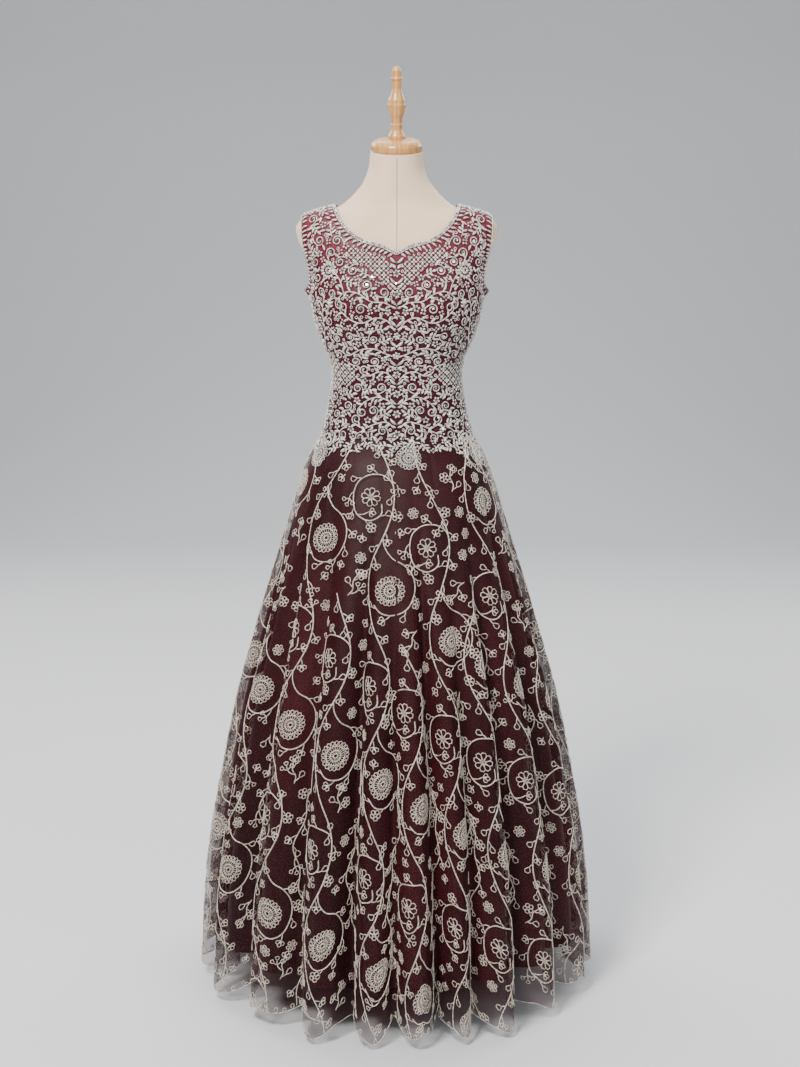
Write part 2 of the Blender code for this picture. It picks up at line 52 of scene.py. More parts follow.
# Sizes that the cloth and the dress form are built from, as in the part
SEAM_GAP = 0.0003
LINING_OFFSET = 0.0048
NET_OFFSET = 0.0076
HIP_SEAM_HEIGHT = 1.075
SHOULDER_INNER = 0.112
SHOULDER_OUTER = 0.174
NET_HEM_HEIGHT = 0.016
LINING_HEM_HEIGHT = 0.100
HEM_FOLD_DEPTH = 0.062
HEM_VALLEY_RISE = 0.020
CREST_SOFTNESS = 0.05
LINING_FOLD_SHARE = 0.7
LINING_STEP_IN = 0.003
VALLEY_TROUGH = 0.007
UNDERARM_EASE = 0.011
UNDERARM_EASE_REACH = 0.016
PLACKET_HALF_WIDTH = 0.011
PLACKET_LIFT = 0.0012
BODY_SQUARENESS = 2.35
NECK_TILT = math.radians(8)
NECK_TILT_FROM = 1.50
NECK_TOP = 1.604
BUST_HEIGHT = 1.312
BUST_SPACING = 0.078
BUST_RISE = 0.020
BUST_SPREAD = 0.052
NECK_CAP_STRETCH = 1.14

Section = namedtuple("Section", "height half_width front back")
EdgePoint = namedtuple("EdgePoint", "across height")
Turned = namedtuple("Turned", "height radius")
Fold = namedtuple("Fold", "width valley start sway crest lift")

FORM_SECTIONS = [
    Section(0.860, 0.1460, 0.0965, 0.1105),
    Section(0.900, 0.1510, 0.1025, 0.1185),
    Section(0.960, 0.1550, 0.1065, 0.1225),
    Section(1.010, 0.1510, 0.1055, 0.1175),
    Section(1.075, 0.1370, 0.0995, 0.1015),
    Section(1.128, 0.1230, 0.0925, 0.0875),
    Section(1.190, 0.1160, 0.0865, 0.0785),
    Section(1.223, 0.1210, 0.0895, 0.0795),
    Section(1.255, 0.1350, 0.0965, 0.0835),
    Section(1.302, 0.1500, 0.1045, 0.0905),
    Section(1.348, 0.1560, 0.1045, 0.0965),
    Section(1.380, 0.1610, 0.0995, 0.0985),
    Section(1.413, 0.1720, 0.0915, 0.0965),
    Section(1.440, 0.1840, 0.0830, 0.0920),
    Section(1.463, 0.1885, 0.0720, 0.0830),
    Section(1.475, 0.1820, 0.0660, 0.0770),
    Section(1.484, 0.1660, 0.0620, 0.0710),
    Section(1.492, 0.1410, 0.0590, 0.0660),
    Section(1.500, 0.1130, 0.0560, 0.0620),
    Section(1.512, 0.0940, 0.0530, 0.0590),
    Section(1.527, 0.0780, 0.0520, 0.0580),
    Section(1.548, 0.0620, 0.0520, 0.0570),
    Section(1.579, 0.0510, 0.0530, 0.0560),
    Section(1.604, 0.0485, 0.0540, 0.0550),
]
SKIRT_SECTIONS = [
    Section(0.000, 0.395, 0.412, 0.392),
    Section(0.179, 0.384, 0.398, 0.380),
    Section(0.291, 0.371, 0.382, 0.366),
    Section(0.439, 0.343, 0.350, 0.338),
    Section(0.568, 0.315, 0.317, 0.309),
    Section(0.687, 0.281, 0.280, 0.277),
    Section(0.801, 0.246, 0.241, 0.243),
    Section(0.918, 0.208, 0.194, 0.202),
    Section(0.980, 0.188, 0.167, 0.176),
    Section(1.030, 0.169, 0.143, 0.146),
    Section(1.075, 0.145, 0.107, 0.109),
]
FRONT_FOLDS = [
    Fold(17, 0.70, 0.10, 0.0, 0.00, 0.004),
    Fold(20, 1.00, 0.04, 1.5, 0.00, 0.000),
    Fold(20, 0.95, 0.02, -2.0, 0.10, 0.006),
    Fold(19, 0.90, 0.00, 2.0, 0.00, -0.004),
    Fold(13, 1.00, 0.06, -1.5, 0.16, -0.008),
    Fold(13, 0.70, 0.20, 1.0, 0.05, 0.002),
    Fold(13, 0.95, 0.03, 2.0, 0.12, -0.006),
    Fold(14, 0.75, 0.16, -2.0, 0.00, -0.010),
    Fold(20, 1.00, 0.02, 1.5, 0.08, 0.000),
    Fold(17, 0.90, 0.05, -1.0, 0.00, 0.007),
    Fold(14, 0.80, 0.10, 1.5, 0.06, 0.002),
]
BACK_FOLDS = [
    Fold(16, 0.75, 0.08, 0.0, 0.04, 0.003),
    Fold(18, 0.95, 0.03, -1.5, 0.00, -0.004),
    Fold(15, 0.85, 0.12, 2.0, 0.10, 0.002),
    Fold(19, 1.00, 0.00, 1.0, 0.00, -0.006),
    Fold(14, 0.75, 0.18, -2.0, 0.08, 0.004),
    Fold(16, 0.95, 0.04, 1.5, 0.00, -0.002),
    Fold(19, 0.90, 0.02, -1.0, 0.05, 0.005),
    Fold(14, 0.80, 0.15, 2.0, 0.14, -0.005),
    Fold(18, 1.00, 0.02, -1.5, 0.00, 0.000),
    Fold(16, 0.85, 0.09, 1.0, 0.06, 0.006),
    Fold(15, 0.90, 0.05, -1.0, 0.02, 0.001),
]
FRONT_NECKLINE = [
    EdgePoint(0.000, 1.422),
    EdgePoint(0.028, 1.435),
    EdgePoint(0.059, 1.443),
    EdgePoint(0.080, 1.456),
    EdgePoint(0.100, 1.478),
]
BACK_NECKLINE = [
    EdgePoint(0.000, 1.446),
    EdgePoint(0.040, 1.449),
    EdgePoint(0.075, 1.460),
    EdgePoint(0.100, 1.481),
]
ARMHOLE = [
    EdgePoint(1.000, 1.350),
    EdgePoint(0.988, 1.372),
    EdgePoint(0.968, 1.400),
    EdgePoint(0.940, 1.430),
    EdgePoint(0.918, 1.463),
]
NECK_CAP_PROFILE = [
    Turned(0.000, 0.0460),
    Turned(0.003, 0.0478),
    Turned(0.010, 0.0482),
    Turned(0.015, 0.0465),
    Turned(0.019, 0.0420),
    Turned(0.0215, 0.0340),
    Turned(0.0225, 0.0200),
]
FINIAL_PROFILE = [
    Turned(0.000, 0.0163),
    Turned(0.004, 0.0160),
    Turned(0.009, 0.0138),
    Turned(0.014, 0.0110),
    Turned(0.020, 0.0100),
    Turned(0.024, 0.0107),
    Turned(0.028, 0.0096),
    Turned(0.034, 0.0102),
    Turned(0.045, 0.0138),
    Turned(0.056, 0.0160),
    Turned(0.060, 0.0170),
    Turned(0.064, 0.0162),
    Turned(0.070, 0.0156),
    Turned(0.076, 0.0128),
    Turned(0.084, 0.0098),
    Turned(0.092, 0.0084),
    Turned(0.104, 0.0084),
    Turned(0.108, 0.0108),
    Turned(0.112, 0.0088),
    Turned(0.121, 0.0087),
    Turned(0.127, 0.0066),
    Turned(0.130, 0.0026),
]
BASE_PROFILE = [
    Turned(0.000, 0.1650),
    Turned(0.004, 0.1680),
    Turned(0.010, 0.1670),
    Turned(0.016, 0.1500),
    Turned(0.024, 0.0500),
    Turned(0.032, 0.0260),
    Turned(0.060, 0.0220),
]


# Curves, sections and the dress form's surface


def column_of(table, name):
    return np.array([getattr(row, name) for row in table], float)


def curve_through(keys, values, at):
    """Smooth curve through (keys, values) that never overshoots them, read at the numbers in at."""
    steps = np.diff(keys)
    slopes = np.diff(values) / steps
    tangents = np.empty(len(keys))
    tangents[0], tangents[-1] = slopes[0], slopes[-1]
    before, after = slopes[:-1], slopes[1:]
    same_way = before * after > 0
    total = np.where(same_way, before + after, 1.0)
    tangents[1:-1] = np.where(same_way, 2 * before * after / total, 0.0)
    at = np.clip(at, keys[0], keys[-1])
    k = np.clip(np.searchsorted(keys, at, side="right") - 1, 0, len(keys) - 2)
    t = (at - keys[k]) / steps[k]
    return (
        (2 * t**3 - 3 * t**2 + 1) * values[k]
        + (t**3 - 2 * t**2 + t) * steps[k] * tangents[k]
        + (3 * t**2 - 2 * t**3) * values[k + 1]
        + (t**3 - t**2) * steps[k] * tangents[k + 1]
    )


def section_at(table, height):
    """Half width, front and back reach of a table of sections at these heights."""
    keys = column_of(table, "height")
    names = ("half_width", "front", "back")
    return [curve_through(keys, column_of(table, name), height) for name in names]


def smooth_step(low, high, value):
    """0 below low and 1 above high, with a smooth rise between."""
    t = np.clip((value - low) / (high - low), 0, 1)
    return t * t * (3 - 2 * t)


def unit(vectors):
    return vectors / np.maximum(np.linalg.norm(vectors, axis=-1, keepdims=True), 1e-12)


def folded(angle):
    """Angles in degrees brought between -180 and 180."""
    return (angle + 180) % 360 - 180


def length_along(points):
    return np.concatenate([[0], np.cumsum(np.linalg.norm(np.diff(points, axis=0), axis=1))])


def form_width(height):
    """Half width of the dress form at one height."""
    return float(section_at(FORM_SECTIONS, height)[0])


def bust(x, z, ratio):
    """How far the dress form's two bust points stand out of its plain front."""
    side = (np.abs(x) - BUST_SPACING) / BUST_SPREAD
    up = (z - BUST_HEIGHT) / BUST_SPREAD
    return BUST_RISE * np.exp(-(side**2) - up**2) * (1 - np.clip(ratio, 0, 1) ** 2)


def form_depth(x, z, side):
    """y of the dress form at front-view place (x, z); side is -1 for the front and 1 for the back."""
    width, front, back = section_at(FORM_SECTIONS, z)
    ratio = np.clip(np.abs(x) / width, 0, 1)
    reach = (1 - ratio**BODY_SQUARENESS) ** (1 / BODY_SQUARENESS)
    return np.where(np.asarray(side) < 0, -front * reach - bust(x, z, ratio), back * reach)


def form_spot(x, z, side):
    """One point of the dress form, from its front-view place."""
    return np.array([x, float(form_depth(x, z, side)), z])


def form_field(p, side):
    """1 on the dress form and growing outwards, so that its slope is the way out."""
    x, y, z = p[..., 0], p[..., 1], p[..., 2]
    width, front, back = section_at(FORM_SECTIONS, z)
    ratio = np.abs(x) / width
    ahead = np.abs(np.minimum(y, 0) + bust(x, z, ratio)) / front
    behind = np.maximum(y, 0) / back
    depth = np.where(np.asarray(side) < 0, ahead, behind)
    return ratio**BODY_SQUARENESS + depth**BODY_SQUARENESS


def form_slope(p, side):
    steps = 1e-5 * np.eye(3)
    return np.stack([form_field(p + e, side) - form_field(p - e, side) for e in steps], axis=-1) / 2e-5


def form_normal(p, side):
    return unit(form_slope(p, side))


def onto_form(p, side, rounds=8):
    """Points moved onto the dress form along its way out."""
    for _ in range(rounds):
        high = form_field(p, side) - 1
        slope = form_slope(p, side)
        p = p - slope * (high / np.maximum((slope**2).sum(-1), 1e-9))[..., None]
    return p


def shoulder_height(x):
    """Height of the dress form's shoulder ridge at this distance from the middle."""
    top = [row for row in FORM_SECTIONS if row.height >= 1.463]
    widths, heights = column_of(top, "half_width"), column_of(top, "height")
    return curve_through(widths[::-1], heights[::-1], np.asarray(x, float))


# Meshes


def mesh_object(name, points, faces, material):
    """A smooth-shaded piece that rides with the part, from points and faces of one size."""
    points = np.asarray(points, np.float32).reshape(-1, 3)
    faces = np.asarray(faces, np.int32)
    corners = faces.shape[1]
    mesh = bpy.data.meshes.new(name)
    mesh.vertices.add(len(points))
    mesh.vertices.foreach_set("co", points.ravel())
    mesh.loops.add(faces.size)
    mesh.loops.foreach_set("vertex_index", faces.ravel())
    mesh.polygons.add(len(faces))
    mesh.polygons.foreach_set("loop_start", np.arange(0, faces.size, corners, dtype=np.int32))
    mesh.polygons.foreach_set("loop_total", np.full(len(faces), corners, np.int32))
    mesh.update(calc_edges=True)
    mesh.validate()
    mesh.shade_smooth()
    mesh.materials.append(material)
    made = bpy.data.objects.new(name, mesh)
    bpy.context.scene.collection.objects.link(made)
    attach(made, BODY)
    return made


def stand_for(piece, node):
    """A piece that shows a node of the part in place of the node's own mesh, which is hidden."""
    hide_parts(node)
    return piece


def joined_columns(rows):
    """Rows of arrays joined into one array for each place in a row."""
    return [np.concatenate(each) for each in zip(*rows)]


def grid_faces(rows, columns, closed=False):
    """Quads of a grid of points, joined round from its last column to its first where closed."""
    across = np.arange(columns if closed else columns - 1)
    a = np.arange(rows - 1)[:, None] * columns + across[None, :]
    b = np.arange(rows - 1)[:, None] * columns + (across[None, :] + 1) % columns
    return np.stack([a, b, b + columns, a + columns], axis=-1).reshape(-1, 4)


def cloth_grid(node, grid, material, way):
    """A node's thin cloth surface from a grid of points, facing -Y or +Y as way is -1 or 1."""
    rows, columns = grid.shape[:2]
    faces = grid_faces(rows, columns)
    r, c = rows // 2, columns // 2
    facing = np.cross(grid[r, c + 1] - grid[r, c], grid[r + 1, c] - grid[r, c])
    if facing[1] * way < 0:
        faces = faces[:, ::-1]
    return stand_for(mesh_object(f"{node}_cloth", grid, faces, material), node)


# Materials


def shader_material(name, colour, roughness, **values):
    """A new Principled material with plain values on its own sockets."""
    made = bpy.data.materials.new(name)
    made.use_nodes = True
    shader = made.node_tree.nodes["Principled BSDF"]
    shader.inputs["Base Color"].default_value = (*colour, 1)
    shader.inputs["Roughness"].default_value = roughness
    for key, value in values.items():
        socket = shader.inputs[key.replace("_", " ").title().replace("Ior", "IOR")]
        socket.default_value = (*value, 1) if isinstance(value, tuple) else value
    return made, shader


def add_node(material, kind, **values):
    node = material.node_tree.nodes.new(kind)
    for key, value in values.items():
        node.inputs[key].default_value = value
    return node


def join(material, source, target):
    material.node_tree.links.new(source, target)


def object_place(material, scale):
    """Object coordinates, scaled by (x, y, z)."""
    place = add_node(material, "ShaderNodeTexCoord")
    mapping = add_node(material, "ShaderNodeMapping")
    mapping.inputs["Scale"].default_value = scale
    join(material, place.outputs["Object"], mapping.inputs["Vector"])
    return mapping.outputs["Vector"]


EVENLY = (1, 1, 1)


def ramp_colour(material, shader, factor, stops):
    """Base colour that runs through stops, each a place and a colour, as a factor rises."""
    ramp = material.node_tree.nodes.new("ShaderNodeValToRGB")
    first, *between, last = stops
    for element, (place, colour) in zip(ramp.color_ramp.elements, (first, last)):
        element.position = place
        element.color = (*colour, 1)
    for place, colour in between:
        ramp.color_ramp.elements.new(place).color = (*colour, 1)
    join(material, factor, ramp.inputs["Fac"])
    join(material, ramp.outputs["Color"], shader.inputs["Base Color"])


def noise_colour(material, shader, scale, dark, light, stretch=EVENLY):
    """Base colour that varies between two colours with noise."""
    noise = add_node(material, "ShaderNodeTexNoise", Scale=scale, Detail=3.0)
    join(material, object_place(material, stretch), noise.inputs["Vector"])
    ramp_colour(material, shader, noise.outputs["Fac"], ((0.35, dark), (0.68, light)))


def raised_by(material, shader, height, strength, distance):
    bump = add_node(material, "ShaderNodeBump", Strength=strength, Distance=distance)
    join(material, height, bump.inputs["Height"])
    join(material, bump.outputs["Normal"], shader.inputs["Normal"])


def noise_bump(material, shader, scale, strength, distance):
    """A fine even grain."""
    noise = add_node(material, "ShaderNodeTexNoise", Scale=scale, Detail=2.0)
    join(material, object_place(material, EVENLY), noise.inputs["Vector"])
    raised_by(material, shader, noise.outputs["Fac"], strength, distance)


def net_material(name, alpha, dark, light, sheen):
    material, shader = shader_material(
        name, light, 0.6, alpha=alpha, specular_ior_level=0.15,
        sheen_weight=sheen, sheen_roughness=0.4, sheen_tint=(0.8, 0.3, 0.36),
    )
    # vertical streaks of darker and lighter net: partly tone that differs at random and partly painted shade
    # of fold bands
    noise_colour(material, shader, 9.0, dark, light, (1, 1, 0.25))
    noise_bump(material, shader, 900.0, 0.25, 0.0004)
    return material


def lining_material():
    material, shader = shader_material(
        "lining_crepe", (0.1, 0.02, 0.03), 0.5, specular_ior_level=0.25,
        sheen_weight=0.06, sheen_roughness=0.35, sheen_tint=(0.8, 0.3, 0.36),
    )
    # vertical streaks of darker and lighter crepe: painted shade of fold bands, laid over tone that differs
    # at random
    noise_colour(material, shader, 8.0, (0.011, 0.002, 0.003), (0.042, 0.006, 0.009), (1, 1, 0.14))
    noise_bump(material, shader, 1100.0, 0.2, 0.0003)
    return material


def bodice_lining_material():
    """Satin whose colour runs by height from dark at the waist to light crimson over the chest: painted
    light from above, as well as the pale dress form showing through over the chest.
    """
    material, shader = shader_material(
        "bodice_lining_satin", (0.25, 0.03, 0.06), 0.42, specular_ior_level=0.25,
        sheen_weight=0.06, sheen_roughness=0.35, sheen_tint=(0.9, 0.4, 0.45),
    )
    split = add_node(material, "ShaderNodeSeparateXYZ")
    join(material, object_place(material, EVENLY), split.inputs["Vector"])
    share = add_node(material, "ShaderNodeMapRange")
    share.inputs["From Min"].default_value = 1.10
    share.inputs["From Max"].default_value = 1.46
    join(material, split.outputs["Z"], share.inputs["Value"])
    # painted light: the satin's colour lightens with height, darkest at the waist and lightest over the
    # chest
    stops = ((0.0, (0.030, 0.005, 0.008)), (0.60, (0.095, 0.011, 0.020)), (1.0, (0.25, 0.042, 0.064)))
    ramp_colour(material, shader, share.outputs["Result"], stops)
    noise_bump(material, shader, 1100.0, 0.2, 0.0003)
    return material


def thread_material(name, dark, light):
    """Matt-silver and ivory twisted thread."""
    material, shader = shader_material(
        name, light, 0.42, metallic=0.15, sheen_weight=0.25, sheen_roughness=0.5
    )
    # small spots from dark grey to bright ivory: the twisted thread's varied tone, with painted shade and
    # painted glints in it
    noise_colour(material, shader, 240.0, dark, light)
    noise_bump(material, shader, 1500.0, 0.6, 0.0006)
    return material


def sequin_material():
    material, shader = shader_material("sequin", (0.95, 0.93, 0.9), 0.08, metallic=1.0)
    noise_colour(material, shader, 200.0, (0.8, 0.8, 0.82), (1, 0.98, 0.95))
    return material


def jersey_material():
    material, shader = shader_material(
        "form_jersey", (0.7, 0.6, 0.49), 0.8, sheen_weight=0.3, sheen_roughness=0.5
    )
    noise_colour(material, shader, 14.0, (0.74, 0.54, 0.365), (0.80, 0.595, 0.41))
    noise_bump(material, shader, 1300.0, 0.25, 0.0003)
    return material


def wood_material():
    material, shader = shader_material(
        "turned_wood", (0.55, 0.27, 0.08), 0.36, coat_weight=0.3, coat_roughness=0.25
    )
    vector = object_place(material, (1, 1, 0.22))
    wave = add_node(material, "ShaderNodeTexWave", Scale=34.0, Distortion=7.0, Detail=3.0)
    wave.inputs["Detail Scale"].default_value = 1.6
    join(material, vector, wave.inputs["Vector"])
    stops = ((0.0, (0.48, 0.225, 0.062)), (1.0, (0.60, 0.315, 0.098)))
    ramp_colour(material, shader, wave.outputs["Fac"], stops)
    raised_by(material, shader, wave.outputs["Fac"], 0.08, 0.0004)
    return material


def stand_material():
    material, shader = shader_material("stand_paint", (0.03, 0.03, 0.032), 0.35, metallic=0.6)
    noise_colour(material, shader, 30.0, (0.025, 0.025, 0.027), (0.04, 0.04, 0.043))
    noise_bump(material, shader, 500.0, 0.15, 0.0003)
    return material


# dark and light colours of the nets' vertical streaks, partly painted shade of fold bands
SKIRT_NET = net_material("skirt_net", 0.42, (0.027, 0.0036, 0.0055), (0.052, 0.007, 0.0105), 0.05)
BODICE_NET = net_material("bodice_net", 0.30, (0.055, 0.007, 0.012), (0.095, 0.011, 0.021), 0.06)
SKIRT_LINING = lining_material()
BODICE_LINING = bodice_lining_material()
# dark ends of the thread colours are partly painted shade and the light ends partly painted glints
THREAD = thread_material("ivory_thread", (0.33, 0.27, 0.21), (0.90, 0.81, 0.70))
BODICE_THREAD = thread_material("silver_thread", (0.30, 0.28, 0.25), (0.98, 0.94, 0.88))
JERSEY = jersey_material()
JERSEY_SEAM, _ = shader_material("jersey_seam", (0.52, 0.43, 0.34), 0.8)
WOOD = wood_material()
STAND = stand_material()
SEQUIN = sequin_material()


# The skirt's surface


def fold_edges(folds, from_angle):
    return from_angle + np.concatenate([[0], np.cumsum(column_of(folds, "width"))])


def fold_shape(angle, fall):
    """How far in the cloth lies, 1 on a crest and 0 in a valley, and how high its hem hangs."""
    folds = FRONT_FOLDS + BACK_FOLDS
    closed = folds + folds[:1]
    turned_angle = np.ravel((angle + 90) % 360 - 90)
    flat_fall = np.ravel(fall)
    edges = fold_edges(folds, -90)[:, None] + column_of(closed, "sway")[:, None] * (flat_fall - 0.5)
    k = np.clip((edges <= turned_angle).sum(0) - 1, 0, len(folds) - 1)
    here = np.arange(len(k))
    t = np.clip((turned_angle - edges[k, here]) / (edges[k + 1, here] - edges[k, here]), 0, 1)
    hump = np.sqrt(np.sin(math.pi * t) ** 2 + CREST_SOFTNESS) - math.sqrt(CREST_SOFTNESS)
    hump /= math.sqrt(1 + CREST_SOFTNESS) - math.sqrt(CREST_SOFTNESS)
    starts = column_of(closed, "start")[:, None]
    grown = column_of(closed, "valley")[:, None] * smooth_step(0, 0.4, flat_fall - starts + 0.05)
    blend = smooth_step(0, 1, t)
    in_valley = (1 - blend) * grown[k, here] + blend * grown[k + 1, here]
    on_crest = column_of(folds, "crest")[k] * smooth_step(0.1, 0.7, flat_fall)
    inward = (1 - hump) * in_valley + hump * on_crest
    lift = column_of(folds, "lift")[k] * hump
    return [each.reshape(angle.shape) for each in (inward, hump, lift)]


# Soft troughs and ridges that the folds don't give: place in degrees, stretch of the drop, width in
# degrees, depth in metres (less than 0 stands out) and how far the crease drifts, in degrees
Crease = namedtuple("Crease", "angle start end width depth drift")
CREASES = [
    Crease(-62, 0.02, 0.30, 2.6, 0.0035, 3),
    Crease(-51, 0.00, 0.20, 2.0, 0.0030, -2),
    Crease(-38, 0.05, 0.42, 2.4, 0.0040, 4),
    Crease(-27, 0.00, 0.16, 2.2, 0.0030, 1),
    Crease(-17, 0.10, 0.55, 2.0, -0.0030, -3),
    Crease(-6, 0.00, 0.22, 2.4, 0.0035, 2),
    Crease(8, 0.04, 0.34, 2.2, 0.0035, -3),
    Crease(19, 0.00, 0.18, 2.0, 0.0030, 2),
    Crease(31, 0.08, 0.60, 2.2, -0.0030, 4),
    Crease(44, 0.00, 0.26, 2.6, 0.0035, -2),
    Crease(57, 0.03, 0.40, 2.4, 0.0040, 3),
    Crease(73, 0.00, 0.20, 2.4, 0.0030, -3),
    Crease(101, 0.02, 0.30, 2.6, 0.0035, 3),
    Crease(118, 0.06, 0.48, 2.2, -0.0030, -3),
    Crease(136, 0.00, 0.22, 2.4, 0.0035, 2),
    Crease(153, 0.04, 0.36, 2.2, 0.0040, 3),
    Crease(171, 0.00, 0.18, 2.0, 0.0030, -2),
    Crease(189, 0.05, 0.44, 2.4, 0.0035, 3),
    Crease(207, 0.00, 0.24, 2.4, 0.0035, -3),
    Crease(224, 0.08, 0.52, 2.2, -0.0030, 2),
    Crease(241, 0.00, 0.20, 2.2, 0.0030, 3),
    Crease(258, 0.03, 0.34, 2.6, 0.0035, -2),
    Crease(-80, 0.42, 1.30, 1.7, 0.0038, 2),
    Crease(-67, 0.38, 1.05, 1.4, -0.0035, -2),
    Crease(-55, 0.45, 1.40, 1.5, 0.0038, 1),
    Crease(-43, 0.36, 1.20, 1.3, 0.0036, -2),
    Crease(-31, 0.50, 1.35, 1.4, -0.0035, 2),
    Crease(-20, 0.40, 1.25, 1.3, 0.0038, -1),
    Crease(-9, 0.34, 1.10, 1.4, 0.0036, 2),
    Crease(3, 0.44, 1.40, 1.3, -0.0033, -2),
    Crease(14, 0.38, 1.20, 1.3, 0.0038, 1),
    Crease(26, 0.48, 1.35, 1.4, 0.0036, -2),
    Crease(39, 0.36, 1.15, 1.4, -0.0035, 2),
    Crease(52, 0.42, 1.30, 1.5, 0.0038, -1),
    Crease(65, 0.40, 1.20, 1.5, 0.0036, 2),
    Crease(82, 0.46, 1.35, 1.7, 0.0038, -2),
    Crease(97, 0.38, 1.20, 1.6, -0.0035, 2),
    Crease(112, 0.44, 1.30, 1.5, 0.0038, -2),
    Crease(128, 0.36, 1.15, 1.4, 0.0036, 1),
    Crease(145, 0.48, 1.40, 1.4, -0.0035, -2),
    Crease(162, 0.40, 1.20, 1.4, 0.0038, 2),
    Crease(180, 0.42, 1.35, 1.4, 0.0036, -1),
    Crease(198, 0.36, 1.10, 1.4, -0.0035, 2),
    Crease(215, 0.46, 1.30, 1.5, 0.0038, -2),
    Crease(232, 0.40, 1.25, 1.5, 0.0036, 1),
    Crease(249, 0.44, 1.35, 1.6, 0.0038, -2),
]


def crease_depth(angle, fall):
    """How far the small creases set the skirt in."""
    total = np.zeros(np.shape(angle))
    for c in CREASES:
        along = (fall - c.start) / (c.end - c.start)
        strength = smooth_step(0, 0.25, along) * (1 - smooth_step(0.45, 1.0, along))
        away = (angle - c.angle - c.drift * along + 180) % 360 - 180
        total = total + c.depth * strength * np.exp(-((away / c.width) ** 2))
    return total


SEAM_KEEP = SEAM_GAP * 0.6  # how far each panel keeps from a seam's middle
HEM_SCALLOPS = 34
HEM_SCALLOP_DEPTH = 0.013


def hem_scallop(angle):
    """Uneven scallops of the net's hem, above its lowest points."""
    turn = np.radians(angle)
    phase = HEM_SCALLOPS * turn / 2 + 0.9 * np.sin(5 * turn) + 0.5 * np.sin(3 * turn + 1)
    return HEM_SCALLOP_DEPTH * (1 - np.abs(np.sin(phase))) * (1 + 0.35 * np.sin(7 * turn + 0.6))


def skirt_point(angle, s, is_lining=False):
    """The skirt's net or lining at an angle in degrees and a share s of its drop."""
    top = HIP_SEAM_HEIGHT - SEAM_GAP
    full_drop = top - NET_HEM_HEIGHT
    fall = s * (top - LINING_HEM_HEIGHT) / full_drop if is_lining else s
    inward, hump, lift = fold_shape(angle, fall)
    z = top - full_drop * fall
    if not is_lining:
        rise = HEM_VALLEY_RISE * (1 - hump) + lift + hem_scallop(angle)
        z = z + rise * smooth_step(0.5, 1, s)
    width, front, back = section_at(SKIRT_SECTIONS, z)
    turn = np.radians(angle)
    squareness = BODY_SQUARENESS + (2.0 - BODY_SQUARENESS) * smooth_step(0, 0.25, fall)
    power = 2 / squareness
    across, ahead = np.sin(turn), np.cos(turn)
    reach = np.where(ahead >= 0, front, back)
    x = width * np.sign(across) * np.abs(across) ** power
    y = -reach * np.sign(ahead) * np.abs(ahead) ** power
    nx = np.sign(x) * (np.abs(x) / width) ** (squareness - 1) / width
    ny = np.sign(y) * (np.abs(y) / reach) ** (squareness - 1) / reach
    length = np.hypot(nx, ny)
    depth = HEM_FOLD_DEPTH * (1 - (1 - fall) ** 1.5)
    trough = VALLEY_TROUGH * (1 - hump) ** 3 * smooth_step(0.12, 0.5, fall)
    if is_lining:
        step_in = NET_OFFSET - LINING_OFFSET + LINING_STEP_IN * smooth_step(0, 0.08, fall)
        step_in += (1 - LINING_FOLD_SHARE) * depth
        distance = step_in + LINING_FOLD_SHARE * depth * inward + trough
    else:
        distance = depth * inward + crease_depth(angle, fall) + trough
    return np.stack([x - nx / length * distance, y - ny / length * distance, z], axis=-1)


def skirt_normal(angle, s):
    """The way out of the net."""
    turn, step = 0.08, 0.0015
    round_it = skirt_point(angle + turn, s) - skirt_point(angle - turn, s)
    down = skirt_point(angle, np.minimum(s + step, 1)) - skirt_point(angle, np.maximum(s - step, 0))
    return unit(np.cross(down, round_it))


def build_skirt():
    """Net and lining, each a front and a back panel."""
    made = {}
    steps = (("skirt_net", False, 18, 130), ("skirt_lining", True, 12, 70))
    for name, is_lining, per_fold, rows in steps:
        for side, way, folds, start in (("front", -1, FRONT_FOLDS, -90), ("back", 1, BACK_FOLDS, 90)):
            edges = fold_edges(folds, start)
            parts = [np.linspace(a, b, per_fold, endpoint=False) for a, b in zip(edges, edges[1:])]
            angles = np.concatenate([*parts, edges[-1:]])
            angle, s = np.meshgrid(angles, np.linspace(0, 1, rows + 1))
            grid = skirt_point(angle, s, is_lining)
            for column in (0, -1):
                grid[:, column, 1] = way * SEAM_KEEP
            material, slot = (SKIRT_LINING, "lining") if is_lining else (SKIRT_NET, "net")
            node = f"{name}_{side}"
            made[node] = cloth_grid(node, grid, material, way)
    return made


# Embroidery: strokes of thread drawn in millimetres


Stroke = namedtuple("Stroke", "points width")
Motif = namedtuple("Motif", "x y radius")

STEM_WIDTH = 2.6
STALK_WIDTH = 2.0
LOOP_WIDTH = 1.8
THREAD_BASE = 0.0004
THREAD_HEIGHT = 0.42
HIGHEST_THREAD = 0.0012
HEM_LOOPS = 210


def direction(angle):
    return np.stack([np.cos(angle), np.sin(angle)], axis=-1)


def arc(centre, radius, start, end, steps):
    return np.array(centre) + radius * direction(np.linspace(start, end, steps + 1))


def smooth_line(points, step=4.0):
    """Points at even steps along a smooth curve through these."""
    points = np.array(points, float)
    ends = 2 * points[[0, -1]] - points[[1, -2]]
    padded = np.concatenate([ends[:1], points, ends[1:]])
    fine = []
    for k in range(len(points) - 1):
        t = np.linspace(0, 1, 16, endpoint=False)[:, None]
        a, b, c, d = padded[k:k + 4]
        bend, twist = 2 * a - 5 * b + 4 * c - d, 3 * b - a - 3 * c + d
        fine.append(0.5 * (2 * b + (c - a) * t + bend * t**2 + twist * t**3))
    fine = np.concatenate([*fine, points[-1:]])
    at = length_along(fine)
    even = np.linspace(0, at[-1], max(2, int(round(at[-1] / step)) + 1))
    return np.stack([np.interp(even, at, fine[:, k]) for k in range(2)], axis=1)


